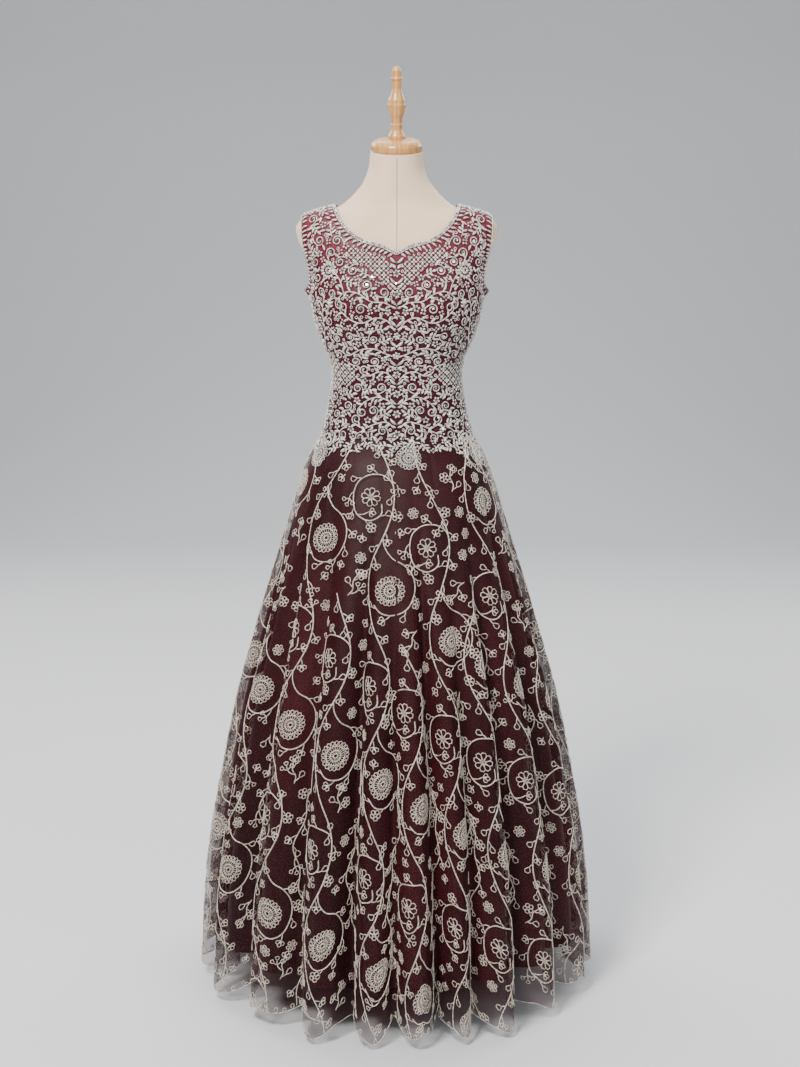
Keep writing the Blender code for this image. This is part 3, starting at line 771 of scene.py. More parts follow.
def loop(base, angle, length, width, steps=7):
    """A drop-shaped loop that starts and ends at its base."""
    t = np.linspace(0, 2 * math.pi, steps + 1)
    ahead = length * (1 - np.cos(t)) / 2
    across = 0.62 * width * np.sin(t) * np.sin(t / 2)
    forward, sideways = direction(angle), direction(angle + math.pi / 2)
    return np.array(base) + ahead[:, None] * forward + across[:, None] * sideways


def stalk(base, angle, length, bend=0.5, steps=3):
    """A short curved stalk, its end point and the way it points there."""
    t = np.linspace(0, 1, steps + 1)[1:]
    turns = angle + bend * (t - 0.5 / steps)
    walk = np.cumsum(direction(turns) * length / steps, axis=0)
    points = np.concatenate([[base], base + walk])
    return points, points[-1], angle + bend


def drop_bud(base, angle, bend):
    line, tip, way = stalk(base, angle, 10.0, bend)
    return [Stroke(line, STALK_WIDTH), Stroke(loop(tip, way, 13.0, 11.5), LOOP_WIDTH)]


def trefoil(base, angle, bend, length=14.0):
    line, tip, way = stalk(base, angle, length, bend)
    made = [Stroke(line, STALK_WIDTH)]
    for turn, size in ((-0.9, 10), (0, 12), (0.9, 10)):
        made.append(Stroke(loop(tip, way + turn, size, 7.6, 6), LOOP_WIDTH))
    return made


def tri_bud(base, angle, bend):
    line, tip, way = stalk(base, angle, 17.0, bend * 2, 5)
    made = [Stroke(line, STALK_WIDTH)]
    for turn, length in ((-1.0, 7), (0.05, 9), (1.05, 7)):
        twig, end, on = stalk(tip, way + turn, length, 0.3, 2)
        made += [Stroke(twig, STALK_WIDTH), Stroke(loop(end, on, 7.6, 8.6, 6), LOOP_WIDTH)]
    return made


def small_flower(base, angle, bend):
    line, tip, way = stalk(base, angle, 9.0, bend, 2)
    centre = tip + 9.5 * direction(way)
    return [Stroke(line, STALK_WIDTH), *petals(centre, 5, 1.8, 9.8, 8.4, way)]


def petals(centre, count, inner, outer, width, turn=0.0, steps=7):
    """A ring of looped petals round a centre."""
    made = []
    for k in range(count):
        angle = turn + k * 2 * math.pi / count
        base = np.array(centre) + inner * direction(angle)
        made.append(Stroke(loop(base, angle, outer - inner, width, steps), LOOP_WIDTH))
    return made


def flower(centre, radius=18.0, count=8, turn=0.2):
    """A flower of looped petals with a small ring in its middle."""
    middle = Stroke(arc(centre, 2.2, 0, 2 * math.pi, 6), LOOP_WIDTH)
    return [*petals(centre, count, 3.6, radius, radius * 0.62, turn), middle]


def roundel(centre, radius=27.5):
    """Rings, spokes and an edge of small loops."""
    made = []
    r1, r2, r3, r4 = 0.15 * radius, 0.37 * radius, 0.64 * radius, 0.68 * radius
    for r, steps in ((r1, 8), (r2, 16), (r3, 24)):
        made.append(Stroke(arc(centre, r, 0, 2 * math.pi, steps), 0.08 * radius))
    for count, inner, outer in ((14, r1, r2), (22, r2, r3)):
        for k in range(count):
            way = direction(2 * math.pi * k / count)
            made.append(Stroke(np.array([centre + inner * way, centre + outer * way]), 0.066 * radius))
    edge = petals(centre, 20, r4, radius, 0.26 * radius, 0.0, 6)
    return made + [Stroke(s.points, 0.062 * radius) for s in edge]


def moved(points, centre, side):
    """Points given away from the stem and down, put round a centre in the bay on that side."""
    return np.array(points, float) * (side, 1) + centre


# Side stems that turn round a roundel or a flower, from its centre
ROUNDEL_SWEEP = [
    (-14, -100), (-10, -80), (4, -60), (26, -47), (43, -24),
    (46, 4), (34, 32), (10, 45), (-14, 41), (-29, 26),
]
FLOWER_SWEEP = [
    (-44, -8), (-39, -28), (-20, -42), (5, -42), (26, -26),
    (33, 3), (27, 32), (4, 45), (-19, 33), (-20, 13),
]
FLOWER_SPROUT = [(26, 34), (14, 33), (4, 28)]
BAY_PERIOD = 350.0
STEM_SWING = 27.0
FILLER_SWING = 19
FILLER_RIPPLE = 6
FILLER_RIPPLE_PERIOD = 90
VINE_STEP = 4.0
BUDS = (drop_bud, trefoil, drop_bud, tri_bud, drop_bud, small_flower, drop_bud, trefoil)
BUD_REACH = {drop_bud: 23, trefoil: 26, tri_bud: 36, small_flower: 28}


def along_line(line, distance):
    """Point and heading at a distance along a line of points."""
    at = length_along(line)
    point = np.array([np.interp(distance, at, line[:, k]) for k in range(2)])
    k = min(np.searchsorted(at, distance, side="right"), len(line) - 1)
    way = line[k] - line[k - 1]
    return point, math.atan2(way[1], way[0])


def buds_on(line, first, spacing, sides, taken, count_from=0):
    """Buds on a line of thread, left out where a larger motif is in the way."""
    made = []
    length = length_along(line)[-1]
    for k, distance in enumerate(np.arange(first, length - 3, spacing)):
        side = sides[k % len(sides)]
        base, heading = along_line(line, distance)
        angle = heading + side * 0.95
        kind = BUDS[(count_from + k) % len(BUDS)]
        reach = BUD_REACH[kind]
        tip = base + 0.62 * reach * direction(angle)
        if any(math.hypot(tip[0] - m.x, tip[1] - m.y) < m.radius + 0.38 * reach for m in taken):
            kind, reach = drop_bud, BUD_REACH[drop_bud]
            tip = base + 0.62 * reach * direction(angle)
            if any(math.hypot(tip[0] - m.x, tip[1] - m.y) < m.radius + 8 for m in taken):
                continue
        made += kind(base, angle, -0.5 * side)
        taken.append(Motif(*tip, 0.38 * reach))
    return made


def swing(y, phase):
    return -STEM_SWING * np.cos(2 * math.pi * (y - phase) / BAY_PERIOD)


def vine_column(first, last, phase):
    """A waving stem with a roundel in each right bay and a flower in each left bay."""
    y = np.arange(first, last, VINE_STEP)
    stem = np.column_stack([swing(y, phase), y])
    made = [Stroke(stem, STEM_WIDTH)]
    taken, sweeps = [], []
    for k in range(int((first - phase) // BAY_PERIOD) - 1, int((last - phase) // BAY_PERIOD) + 2):
        right, left = phase + k * BAY_PERIOD, phase + (k + 0.5) * BAY_PERIOD
        if right > first + 58:
            centre = np.array((19.0, right))
            sweeps.append((smooth_line(moved(ROUNDEL_SWEEP, centre, 1)), 70, -1))
            made += roundel(centre)
            taken.append(Motif(*centre, 28))
        if left > first + 48:
            centre = np.array((-17.0, left))
            sweeps.append((smooth_line(moved(FLOWER_SWEEP, centre, -1)), 22, 1))
            made += flower(centre)
            taken.append(Motif(*centre, 18))
            sprout = smooth_line(moved(FLOWER_SPROUT, centre, -1))
            made += [Stroke(sprout, STALK_WIDTH), *trefoil(sprout[-1], math.pi * 0.06, 0.0, 2.0)]
    for number, (line, first_bud, outer) in enumerate(sweeps):
        made.append(Stroke(line, STEM_WIDTH - 0.2))
        made += buds_on(line, first_bud, 31, (outer,), taken, 3 * number)
    made += buds_on(stem, 14, 25, (1, -1), taken)
    return made


def filler_column(first, last, phase):
    """A thin waving vine with buds and small flowers, for the room between two columns."""
    y = np.arange(first, last, VINE_STEP)
    stem = np.column_stack([FILLER_SWING * np.cos(2 * math.pi * (y - phase) / BAY_PERIOD), y])
    stem[:, 0] += FILLER_RIPPLE * np.sin(2 * math.pi * (y - phase) / FILLER_RIPPLE_PERIOD)
    return [Stroke(stem, STALK_WIDTH + 0.3), *buds_on(stem, 6, 22, (1, -1), [], int(phase))]


# Thread laid on the skirt

CHART_SHARES = np.linspace(0, 1, 171)
CHART_ANGLES = np.arange(-180, 180.01, 0.25)


def skirt_chart():
    """Lengths of cloth round the skirt from -180 degrees, a row for each share of the drop."""
    angle, s = np.meshgrid(CHART_ANGLES, CHART_SHARES)
    rows = skirt_point(angle, s)
    steps = np.linalg.norm(np.diff(rows, axis=1), axis=2)
    return np.concatenate([np.zeros((len(steps), 1)), np.cumsum(steps, axis=1)], axis=1) / MM


CHART = skirt_chart()


def drop_lengths(anchor):
    """Length of cloth in millimetres from the hip seam down at one angle, for each share."""
    return length_along(skirt_point(np.full(len(CHART_SHARES), float(anchor)), CHART_SHARES)) / MM


def angle_across(row, anchor, across):
    """The angle that lies this far across the cloth from another, on one row of the chart."""
    lengths = CHART[row]
    whole = lengths[-1]
    start = np.interp(folded(anchor), CHART_ANGLES, lengths)
    target = start + across
    turns = np.floor(target / whole)
    return np.interp(target - turns * whole, lengths, CHART_ANGLES) + 360 * turns


def on_skirt(anchor, design):
    """Angle and share of the drop of each design point in a column."""
    s = np.interp(design[:, 1], drop_lengths(anchor), CHART_SHARES)
    place = s * (len(CHART_SHARES) - 1)
    low = np.minimum(place.astype(int), len(CHART_SHARES) - 2)
    blend = place - low
    angle = np.empty(len(design))
    for row in np.unique(low):
        here = low == row
        lower = angle_across(row, anchor, design[here, 0])
        upper = angle_across(row + 1, anchor, design[here, 0])
        angle[here] = lower + (upper - lower) * blend[here]
    return angle, s


def thread_object(name, points, normals, stroke, widths, material, keep=None):
    """Three-sided threads along runs of kept points that have the same stroke number."""
    if keep is None:
        keep = np.ones(len(points), bool)
    joined = (stroke[1:] == stroke[:-1]) & keep[1:] & keep[:-1]
    step = unit(points[1:] - points[:-1]) * joined[:, None]
    along_it = np.zeros_like(points)
    along_it[:-1] += step
    along_it[1:] += step
    side = unit(np.cross(normals, unit(along_it)))
    inner = np.zeros(len(points), bool)
    inner[1:-1] = joined[1:] & joined[:-1]
    half = (widths * np.where(inner, 1.0, 0.6) / 2 * MM)[:, None]
    base = points + normals * THREAD_BASE
    left, right = base - side * half, base + side * half
    top = base + normals * np.minimum(half * 2 * THREAD_HEIGHT, HIGHEST_THREAD)
    used = np.zeros(len(points), bool)
    used[:-1] |= joined
    used[1:] |= joined
    corners = np.stack([left, top, right], axis=1)[used].reshape(-1, 3)
    k = 3 * (np.cumsum(used) - 1)[:-1][joined]
    faces = [np.stack([k + a, k + 3 + a, k + 3 + b, k + b], axis=1) for a, b in ((0, 1), (1, 2), (2, 0))]
    mesh_object(name, corners, np.concatenate(faces), material)


def gathered(strokes, first_number=0):
    """All points, stroke numbers and widths of a list of strokes."""
    points = np.concatenate([s.points for s in strokes])
    sizes = [len(s.points) for s in strokes]
    numbers = np.repeat(np.arange(len(strokes)) + first_number, sizes)
    widths = np.concatenate([np.broadcast_to(s.width, len(s.points)) for s in strokes])
    return points, numbers, widths.astype(float)


def turned_strokes(strokes, turn, drop=0):
    """A design turned about its origin and moved down."""
    cos, sin = math.cos(turn), math.sin(turn)
    matrix = np.array([(cos, sin), (-sin, cos)])
    return [Stroke(each.points @ matrix + (0, drop), each.width) for each in strokes]


def crest_angles():
    """Middle angle of each fold, all round."""
    edges = fold_edges(FRONT_FOLDS + BACK_FOLDS, -90)
    return (edges[1:] + edges[:-1]) / 2, edges[:-1]


SPRAY_SPOTS = 9000
SPRAY_SEED = 31
HIP_SPOTS = 5200
HIP_SEED = 23
CORD_WIDTH = 1.7
CORD_LOOP_WIDTH = 1.9


def twig(count):
    """A small loose spray: a bent stem with buds on both sides and one at its tip."""
    stem = smooth_line([(-5, 20), (2, 8), (0, -6), (5, -18)], 4.0)
    made = [Stroke(stem, STALK_WIDTH + 0.2), *buds_on(stem, 5, 13, (1, -1), [], count)]
    tip, heading = along_line(stem, 1e6)
    return made + trefoil(tip, heading, 0.2, 3.0)


def loose_sprays(points):
    """Angles, shares of the drop and designs of small sprays and flowers where the net is bare."""
    tree = KDTree(len(points) // 3 + 1)
    for k, point in enumerate(points[::3]):
        tree.insert(point, k)
    tree.balance()
    random = np.random.default_rng(SPRAY_SEED)
    angles = random.uniform(-180, 180, SPRAY_SPOTS)
    spots = np.column_stack([angles, random.uniform(0.06, 0.955, SPRAY_SPOTS)])
    places = skirt_point(spots[:, 0], spots[:, 1])
    placed, found = [], []
    for wanted, room, apart in (("twig", 0.027, 0.060), ("flower", 0.019, 0.036), ("bud", 0.015, 0.026)):
        for k, (spot, place) in enumerate(zip(spots, places)):
            if tree.find(place)[2] < room:
                continue
            if any(np.linalg.norm(place - other) < max(apart, reach) for other, reach in placed):
                continue
            turn = random.uniform(-0.5, 0.5) + (math.pi if k % 3 == 0 else 0)
            if wanted == "twig":
                strokes, reach = twig(k), 0.046
            elif wanted == "flower":
                strokes, reach = flower((0, 0), 10.5, 6), 0.030
            else:
                strokes, reach = trefoil((0, -9), math.pi / 2, 0.4, 6.0), 0.024
            found.append((spot, turned_strokes(strokes, turn)))
            placed.append((place, reach))
    return found


def build_skirt_threads():
    """Columns of vines down the crests of the folds, with thinner ones in the valleys below."""
    crests, valleys = crest_angles()
    found = []
    count = 0
    for k, (crest, valley) in enumerate(zip(crests, valleys)):
        phase = 96 + k * 3 * BAY_PERIOD / len(crests)
        upper_share = (0.0, 0.34, 0.0, 0.25)[k % 4]
        lower_share = 0.47 + 0.05 * (k % 3)
        columns = ((crest, upper_share, vine_column), (valley, lower_share, filler_column))
        for anchor, top_share, draw in columns:
            drop = drop_lengths(anchor)
            top = np.interp(top_share, CHART_SHARES, drop)
            strokes = draw(top, drop[-1], phase)
            design, number, width = gathered(strokes, count)
            count += len(strokes)
            keep = (design[:, 1] > max(top - 12, 2)) & (design[:, 1] < drop[-1] - 1)
            angle, s = on_skirt(anchor, design)
            found.append((angle, s, number, width, keep))
    angle, s = joined_columns(found)[:2]
    for (anchor, share), strokes in loose_sprays(skirt_point(folded(angle), s)):
        design, number, width = gathered(strokes, count)
        count += len(strokes)
        design = design + (0, np.interp(share, CHART_SHARES, drop_lengths(anchor)))
        found.append((*on_skirt(anchor, design), number, width, np.ones(len(design), bool)))
    angle, s, number, width, keep = joined_columns(found)
    turned = folded(angle)
    points, normals = skirt_point(turned, s), skirt_normal(turned, s)
    quarter = np.clip((turned + 180) // 90, 0, 3)
    for k, name in enumerate(("back_right", "front_right", "front_left", "back_left")):
        here = keep & (quarter == k)
        thread_object(f"skirt_threads_{name}", points, normals, number, width, THREAD, here)


# Where the needlework that hangs below the hip seam ends: places round it in degrees and drops in mm
HIP_EDGE = [
    (-90, 15), (-78, 30), (-66, 18), (-52, 34), (-41, 14), (-30, 24), (-18, 12), (-7, 30),
    (6, 26), (15, 12), (27, 26), (38, 16), (50, 35), (63, 20), (76, 31), (90, 15),
]
HIP_LEAVES = 76
HIP_ROUNDEL_DROP = 36.0
HIP_RISE = 0.008


def hip_edge_drop(angle):
    """How far the needlework reaches below the hip seam at an angle, the same at front and back."""
    in_front = np.where(np.abs(angle) > 90, np.sign(angle) * 180 - angle, angle)
    places, drops = np.array(HIP_EDGE, float).T
    return curve_through(places, drops, in_front)


def hip_filling(crests):
    """Angles and strokes of the small designs packed below the hip seam."""
    random = np.random.default_rng(HIP_SEED)
    full = CHART[0][-1]
    spots = random.uniform((0, 2.5), (full, 38), (HIP_SPOTS, 2))
    angles = np.interp(spots[:, 0], CHART[0], CHART_ANGLES)
    inside = spots[:, 1] < hip_edge_drop(angles)
    spots, angles = spots[inside], angles[inside]
    turns = random.uniform(0, 2 * math.pi, len(spots))
    roundels = np.interp(crests[1::4], CHART_ANGLES, CHART[0])
    taken = np.array([(place, HIP_ROUNDEL_DROP, 22.0) for place in roundels])
    found = []
    small_floret, small_leaf = floret(4, 5.8, 4.2, 1.6), leaf((-6, 0), 0.0, 12.0, 4.8)
    for strokes, radius in ((sprig(), 9.6), (floret(), 6.9), (small_floret, 5.7), (small_leaf, 4.5)):
        for (u, v), angle, turn in zip(spots, angles, turns):
            across = np.abs(taken[:, 0] - u)
            away = np.hypot(np.minimum(across, full - across), taken[:, 1] - v)
            if (away < 0.9 * (taken[:, 2] + radius)).any():
                continue
            taken = np.concatenate([taken, [(u, v, radius)]])
            found.append((angle, turned_strokes(strokes, turn, v)))
    return found


def build_hip_edge():
    """Leaves over the hip seam, the needlework that hangs below it and the roundels in it."""
    crests, _ = crest_angles()
    crests = folded(crests)
    found = hip_filling(crests)
    for k in range(HIP_LEAVES):
        lean = 0.75 * (-1) ** k + 0.2 * math.sin(1.7 * k)
        found.append((k * 360 / HIP_LEAVES - 180, leaf((0, -7.0), math.pi / 2 + lean, 14.0, 5.2, -lean)))
    found += [(crest, roundel((0, HIP_ROUNDEL_DROP), 24.0)) for crest in crests[1::4]]
    parts = []
    count = 0
    for anchor, strokes in found:
        design, number, width = gathered(strokes, count)
        count += len(strokes)
        parts.append((*on_skirt(anchor, design), number, width, np.minimum(design[:, 1], 0) * MM))
    angle, s, number, width, above = joined_columns(parts)
    angle = folded(angle)
    points, normals = skirt_point(angle, s), skirt_normal(angle, s)
    lean = (form_width(HIP_SEAM_HEIGHT) - form_width(HIP_SEAM_HEIGHT + HIP_RISE)) / HIP_RISE
    points = points - above[:, None] * np.array((0, 0, 1)) + above[:, None] * lean * normals
    thread_object("hip_edge_threads", points, normals, number, width, BODICE_THREAD)


def build_hem_cord():
    """A fine cord on the net's scalloped hem and small loops above it in some stretches."""
    angle = np.arange(-180, 180, 0.42)
    angle = np.append(angle, angle[0] + 360)
    rows = [(angle, np.full(len(angle), 0.9985), np.zeros(len(angle), int), np.full(len(angle), CORD_WIDTH))]
    for k in range(HEM_LOOPS):
        anchor = k * 360 / HEM_LOOPS - 180
        if math.sin(0.31 * k) + math.sin(0.173 * k + 1.0) < 0.15:
            continue
        full = drop_lengths(anchor)[-1]
        way, length = -math.pi / 2 + 0.3 * math.sin(1.9 * k), 9.5 + 2.0 * math.sin(2.3 * k)
        design = loop((0, full - 2.0), way, length, 7.5)
        count = len(design)
        rows.append((*on_skirt(anchor, design), np.full(count, k + 1), np.full(count, CORD_LOOP_WIDTH)))
    angle, s, number, width = joined_columns(rows)
    angle = folded(angle)
    thread_object("hem_cord", skirt_point(angle, s), skirt_normal(angle, s), number, width, THREAD)


# The bodice's surface


MIRROR = np.array((-1, 1, 1))
BODICE_COLUMNS = (40, 12)
UNDERARM_ROW = 0.62
BODICE_ROWS = np.concatenate([np.linspace(0, UNDERARM_ROW, 45)[:-1], np.linspace(UNDERARM_ROW, 1, 45)])


def along(points, count, side):
    """count + 1 front-view points, evenly spaced over the dress form along the curve through points."""
    points = np.array(points, float)
    flat = length_along(points)
    fine = np.linspace(0, flat[-1], 400)
    curve = np.stack([curve_through(flat, points[:, k], fine) for k in range(2)], axis=1)
    depth = form_depth(curve[:, 0], curve[:, 1], side)
    length = length_along(np.column_stack([curve, depth]))
    at = np.linspace(0, length[-1], count + 1)
    return np.stack([np.interp(at, length, curve[:, k]) for k in range(2)], axis=1)


def on_form(flat, side):
    """Front-view points put on the dress form."""
    x, z = flat[:, 0], flat[:, 1]
    return np.column_stack([x, form_depth(x, z, side), z])


def neck_and_shoulder(neckline, side, on_neckline, on_shoulder):
    inner = (SHOULDER_INNER, float(shoulder_height(SHOULDER_INNER)))
    neck = along([tuple(p) for p in neckline] + [inner], on_neckline, side)
    x = np.linspace(SHOULDER_INNER, SHOULDER_OUTER, on_shoulder + 1)
    return neck, np.column_stack([x, shoulder_height(x)])


def armhole_points(count, side):
    outer = (SHOULDER_OUTER, float(shoulder_height(SHOULDER_OUTER)))
    arm = [(p.across * form_width(p.height), p.height) for p in ARMHOLE]
    return along(arm + [outer], count, side)


def bodice_edges(neckline, side):
    """Hip, top, middle and outer edge of half a bodice, as points on the dress form."""
    on_neckline, on_shoulder = BODICE_COLUMNS
    turn = np.linspace(0, math.pi / 2, on_neckline + on_shoulder + 1)
    hip = np.column_stack([form_width(HIP_SEAM_HEIGHT) * np.sin(turn), np.full(len(turn), HIP_SEAM_HEIGHT)])
    neck, shoulder = neck_and_shoulder(neckline, side, on_neckline, on_shoulder)
    top = np.concatenate([neck, shoulder[1:]])
    shares = BODICE_ROWS
    middle = HIP_SEAM_HEIGHT + (top[0, 1] - HIP_SEAM_HEIGHT) * shares
    middle = np.column_stack([0 * middle, middle])
    underarm = ARMHOLE[0].height
    seam_z = HIP_SEAM_HEIGHT + (underarm - HIP_SEAM_HEIGHT) * shares[shares < UNDERARM_ROW] / UNDERARM_ROW
    seam = np.column_stack([section_at(FORM_SECTIONS, seam_z)[0], seam_z])
    fine = armhole_points(400, side)
    up_arm = (shares[shares >= UNDERARM_ROW] - UNDERARM_ROW) / (1 - UNDERARM_ROW)
    fine_shares = np.linspace(0, 1, len(fine))
    arm = np.column_stack([np.interp(up_arm, fine_shares, fine[:, k]) for k in range(2)])
    edges = (hip, top, middle, np.concatenate([seam, arm]))
    return [on_form(edge, side) for edge in edges]


def bodice_half(side, neckline):
    """Grid of points and normals on the dress form under half a bodice, middle to side seam."""
    hip, top, middle, outer = bodice_edges(neckline, side)
    u = np.linspace(0, 1, len(hip))[None, :, None]
    v = BODICE_ROWS[:, None, None]
    flat = (1 - u) * middle[:, None] + u * outer[:, None] + (1 - v) * hip[None] + v * top[None]
    flat -= (1 - u) * (1 - v) * hip[0] + u * (1 - v) * hip[-1] + (1 - u) * v * top[0] + u * v * top[-1]
    points = onto_form(flat, side, 12)
    points[0], points[-1] = hip, top
    points[:, 0], points[:, -1] = middle, outer
    return points, form_normal(points, side)


def underarm_ease(points):
    """How far the cloth stands off at the lowest corner of the armhole."""
    height = ARMHOLE[0].height
    corner = np.array([form_width(height), 0, height])
    away = np.linalg.norm(np.abs(points * (1, 0, 1)) + points * (0, 1, 0) - corner, axis=-1)
    return UNDERARM_EASE * np.exp(-((away / UNDERARM_EASE_REACH) ** 2))


# Soft drag lines across the fitted bodice: ends as (distance from the middle, height), in metres
Drag = namedtuple("Drag", "x0 z0 x1 z1 width depth")
DRAGS = [
    Drag(0.080, 1.186, 0.122, 1.200, 0.0050, 0.0014),
    Drag(0.070, 1.168, 0.121, 1.176, 0.0045, 0.0012),
    Drag(0.088, 1.212, 0.126, 1.222, 0.0050, 0.0012),
    Drag(0.060, 1.148, 0.118, 1.152, 0.0050, 0.0010),
    Drag(0.110, 1.335, 0.150, 1.352, 0.0055, 0.0014),
    Drag(0.104, 1.402, 0.136, 1.372, 0.0060, 0.0014),
]


def drag_depth(points):
    """How far the drag lines set the bodice in, the same on both sides and on the back."""
    total = np.zeros(points.shape[:-1])
    x, z = np.abs(points[..., 0]), points[..., 2]
    for d in DRAGS:
        run = np.array([d.x1 - d.x0, d.z1 - d.z0])
        length = np.linalg.norm(run)
        along_it = ((x - d.x0) * run[0] + (z - d.z0) * run[1]) / length**2
        beside = np.abs((x - d.x0) * run[1] - (z - d.z0) * run[0]) / length
        ends = smooth_step(-0.2, 0.25, along_it) * (1 - smooth_step(0.8, 1.25, along_it))
        total += d.depth * ends * np.exp(-((beside / d.width) ** 2))
    return total


def on_bodice(points, normals, offset):
    return points + normals * (offset + underarm_ease(points) - drag_depth(points))[..., None]


def kept_aside(grid, side):
    """A grid whose points stay on their own side of the side seam."""
    y = grid[..., 1]
    grid[..., 1] = np.minimum(y, -SEAM_KEEP) if side < 0 else np.maximum(y, SEAM_KEEP)
    return grid


def build_bodice():
    """Net and lining, each a front and two back halves."""
    made = {}
    layers = (
        ("bodice_net", NET_OFFSET, BODICE_NET, "net"),
        ("bodice_lining", LINING_OFFSET, BODICE_LINING, "lining"),
    )
    halves = {side: bodice_half(side, line) for side, line in ((-1, FRONT_NECKLINE), (1, BACK_NECKLINE))}
    for name, offset, material, slot in layers:
        front = kept_aside(on_bodice(*halves[-1], offset), -1)
        front = np.concatenate([(front[:, ::-1] * MIRROR)[:, :-1], front], axis=1)
        back = kept_aside(on_bodice(*halves[1], offset), 1)
        back[:, 0, 0] += SEAM_KEEP
        pieces = (("front", front, -1), ("back_left", back, 1), ("back_right", back[:, ::-1] * MIRROR, 1))
        for part, grid, way in pieces:
            node = f"{name}_{part}"
            made[node] = cloth_grid(node, grid, material, way)
    z = np.linspace(HIP_SEAM_HEIGHT + 0.001, BACK_NECKLINE[0].height - 0.001, 60)[:, None]
    x = np.linspace(-1, 1, 9)[None, :] * PLACKET_HALF_WIDTH + 0 * z
    z = z + 0 * x
    points = np.stack([x, form_depth(x, z, 1), z], axis=-1)
    grid = points + form_normal(points, 1) * (NET_OFFSET + PLACKET_LIFT)
    made["back_placket"] = cloth_grid("back_placket", grid, BODICE_NET, 1)
    return made


# Embroidery of the bodice: small designs set close together on the form's surface

Design = namedtuple("Design", "points stroke width")
SEQUIN_RADIUS = 0.0023
SEQUIN_LIFT = 0.0014
SEQUIN_TILT = 0.16
SEQUIN_SEED = 3
BODICE_SEEDS = {"front": 5, "back": 11}
ARM_ROUNDEL_PLACE = (0.122, 1.388)


def design_of(strokes):
    return Design(*gathered(strokes))


def filled(start, angle, length, width, bend=0.0, steps=5):
    """A filled leaf or petal: one stroke that swells towards its middle."""
    t = np.linspace(0, 1, steps + 1)
    turns = angle + bend * (t[1:] - 0.5)
    walk = np.cumsum(direction(turns) * length / steps, axis=0)
    points = np.concatenate([[start], start + walk])
    return Stroke(points, width * (0.16 + 0.84 * np.sin(math.pi * t**0.85) ** 0.8))


def leaf(base, angle, length=13.0, width=5.6, bend=0.5):
    return [filled(np.array(base, float), angle, length, width, bend)]


def scroll(turns=1.4, outer=8.8, inner=2.8):
    """A spiral with a tail and two leaves."""
    t = np.linspace(0, turns * 2 * math.pi, 20)
    spiral = (outer + (inner - outer) * t / t[-1])[:, None] * direction(t - 0.4)
    tail = smooth_line([(2.0, -14.5), (6.5, -9.5), (8.1, -3.6)], 3.0)
    made = [Stroke(np.concatenate([tail[:-1], spiral]), 2.3)]
    return made + leaf((3.4, -12.8), -0.1, 12.0, 5.2) + leaf((9.6, 0.5), 0.8, 11.0, 5.0, -0.5)


def sprig():
    """A short stem with five leaves."""
    stem = smooth_line([(0, 11), (1.4, 3), (0, -5)], 3.2)
    made = [Stroke(stem, 2.0), *leaf((0, -5), -math.pi / 2, 10.5, 5.2, 0.0)]
    for y, side, size in ((7, 1, 11.0), (4, -1, 11.0), (-0.5, 1, 9.5), (-2.5, -1, 9.5)):
        made += leaf((0.8, y), -math.pi / 2 + side * 1.15, size, 4.8, -0.6 * side)
    return made


def floret(count=5, outer=6.8, width=4.5, inner=1.9, first=0.3):
    """Filled petals round a dark middle."""
    ways = first + np.arange(count) * 2 * math.pi / count
    return [filled(inner * direction(way), way, outer - inner, width, 0.0, 3) for way in ways]


Packed = namedtuple("Packed", "design radius gap")
FILLING = [
    Packed(design_of(scroll()), 11.6, 27.0),
    Packed(design_of(sprig()), 10.2, 23.0),
    Packed(design_of(floret()), 7.2, 16.0),
    Packed(design_of(floret(4, 5.8, 4.2, 1.6)), 5.9, 11.0),
    Packed(design_of(leaf((-6, 0), 0.0, 12.0, 4.8)), 4.6, 7.0),
    Packed(design_of([Stroke(arc((0, 0), 2.3, 0, 2 * math.pi, 7), 1.7)]), 2.9, 4.8),
]
# One diamond of the lattice: four wide petals that point to its corners
LATTICE = design_of(floret(4, 7.5, 4.7, 1.5, 0.0))
LATTICE_STEP = 15.6
LATTICE_RADIUS = 6.5
EDGE_LEAF = design_of(leaf((0, 4.2), math.pi / 2 - 0.6, 11.0, 4.6))
EDGE_TOOTH = design_of(leaf((0, 2.6), math.pi / 2 - 0.3, 12.0, 3.8))
EDGE_RING = design_of([Stroke(arc((0, 3.6), 1.4, 0, 2 * math.pi, 6), 1.3)])
MIDDLE_FLORET = design_of(floret(6, 8.0, 4.6, 2.4))


def leaf_pair(drop, spread, length, width):
    """Two leaves that spread to both sides of the middle."""
    made = []
    for side in (-1, 1):
        made += leaf((side * 1.5, drop), -math.pi / 2 + side * spread, length, width, -0.7 * side)
    return made


MIDDLE_LEAVES = design_of(leaf_pair(0, 0.85, 15.0, 5.4) + leaf_pair(6, 1.25, 11.0, 4.6))
ARM_ROUNDEL = design_of(floret(14, 17.0, 6.12, 8.5, 0.0) + floret(8, 7.48, 4.25, 2.21, 0.0))


def front_frames(points, normals):
    """Directions across and down the cloth at points on the dress form."""
    across = unit(np.cross((0, 0, 1), normals))
    return across, np.cross(across, normals)


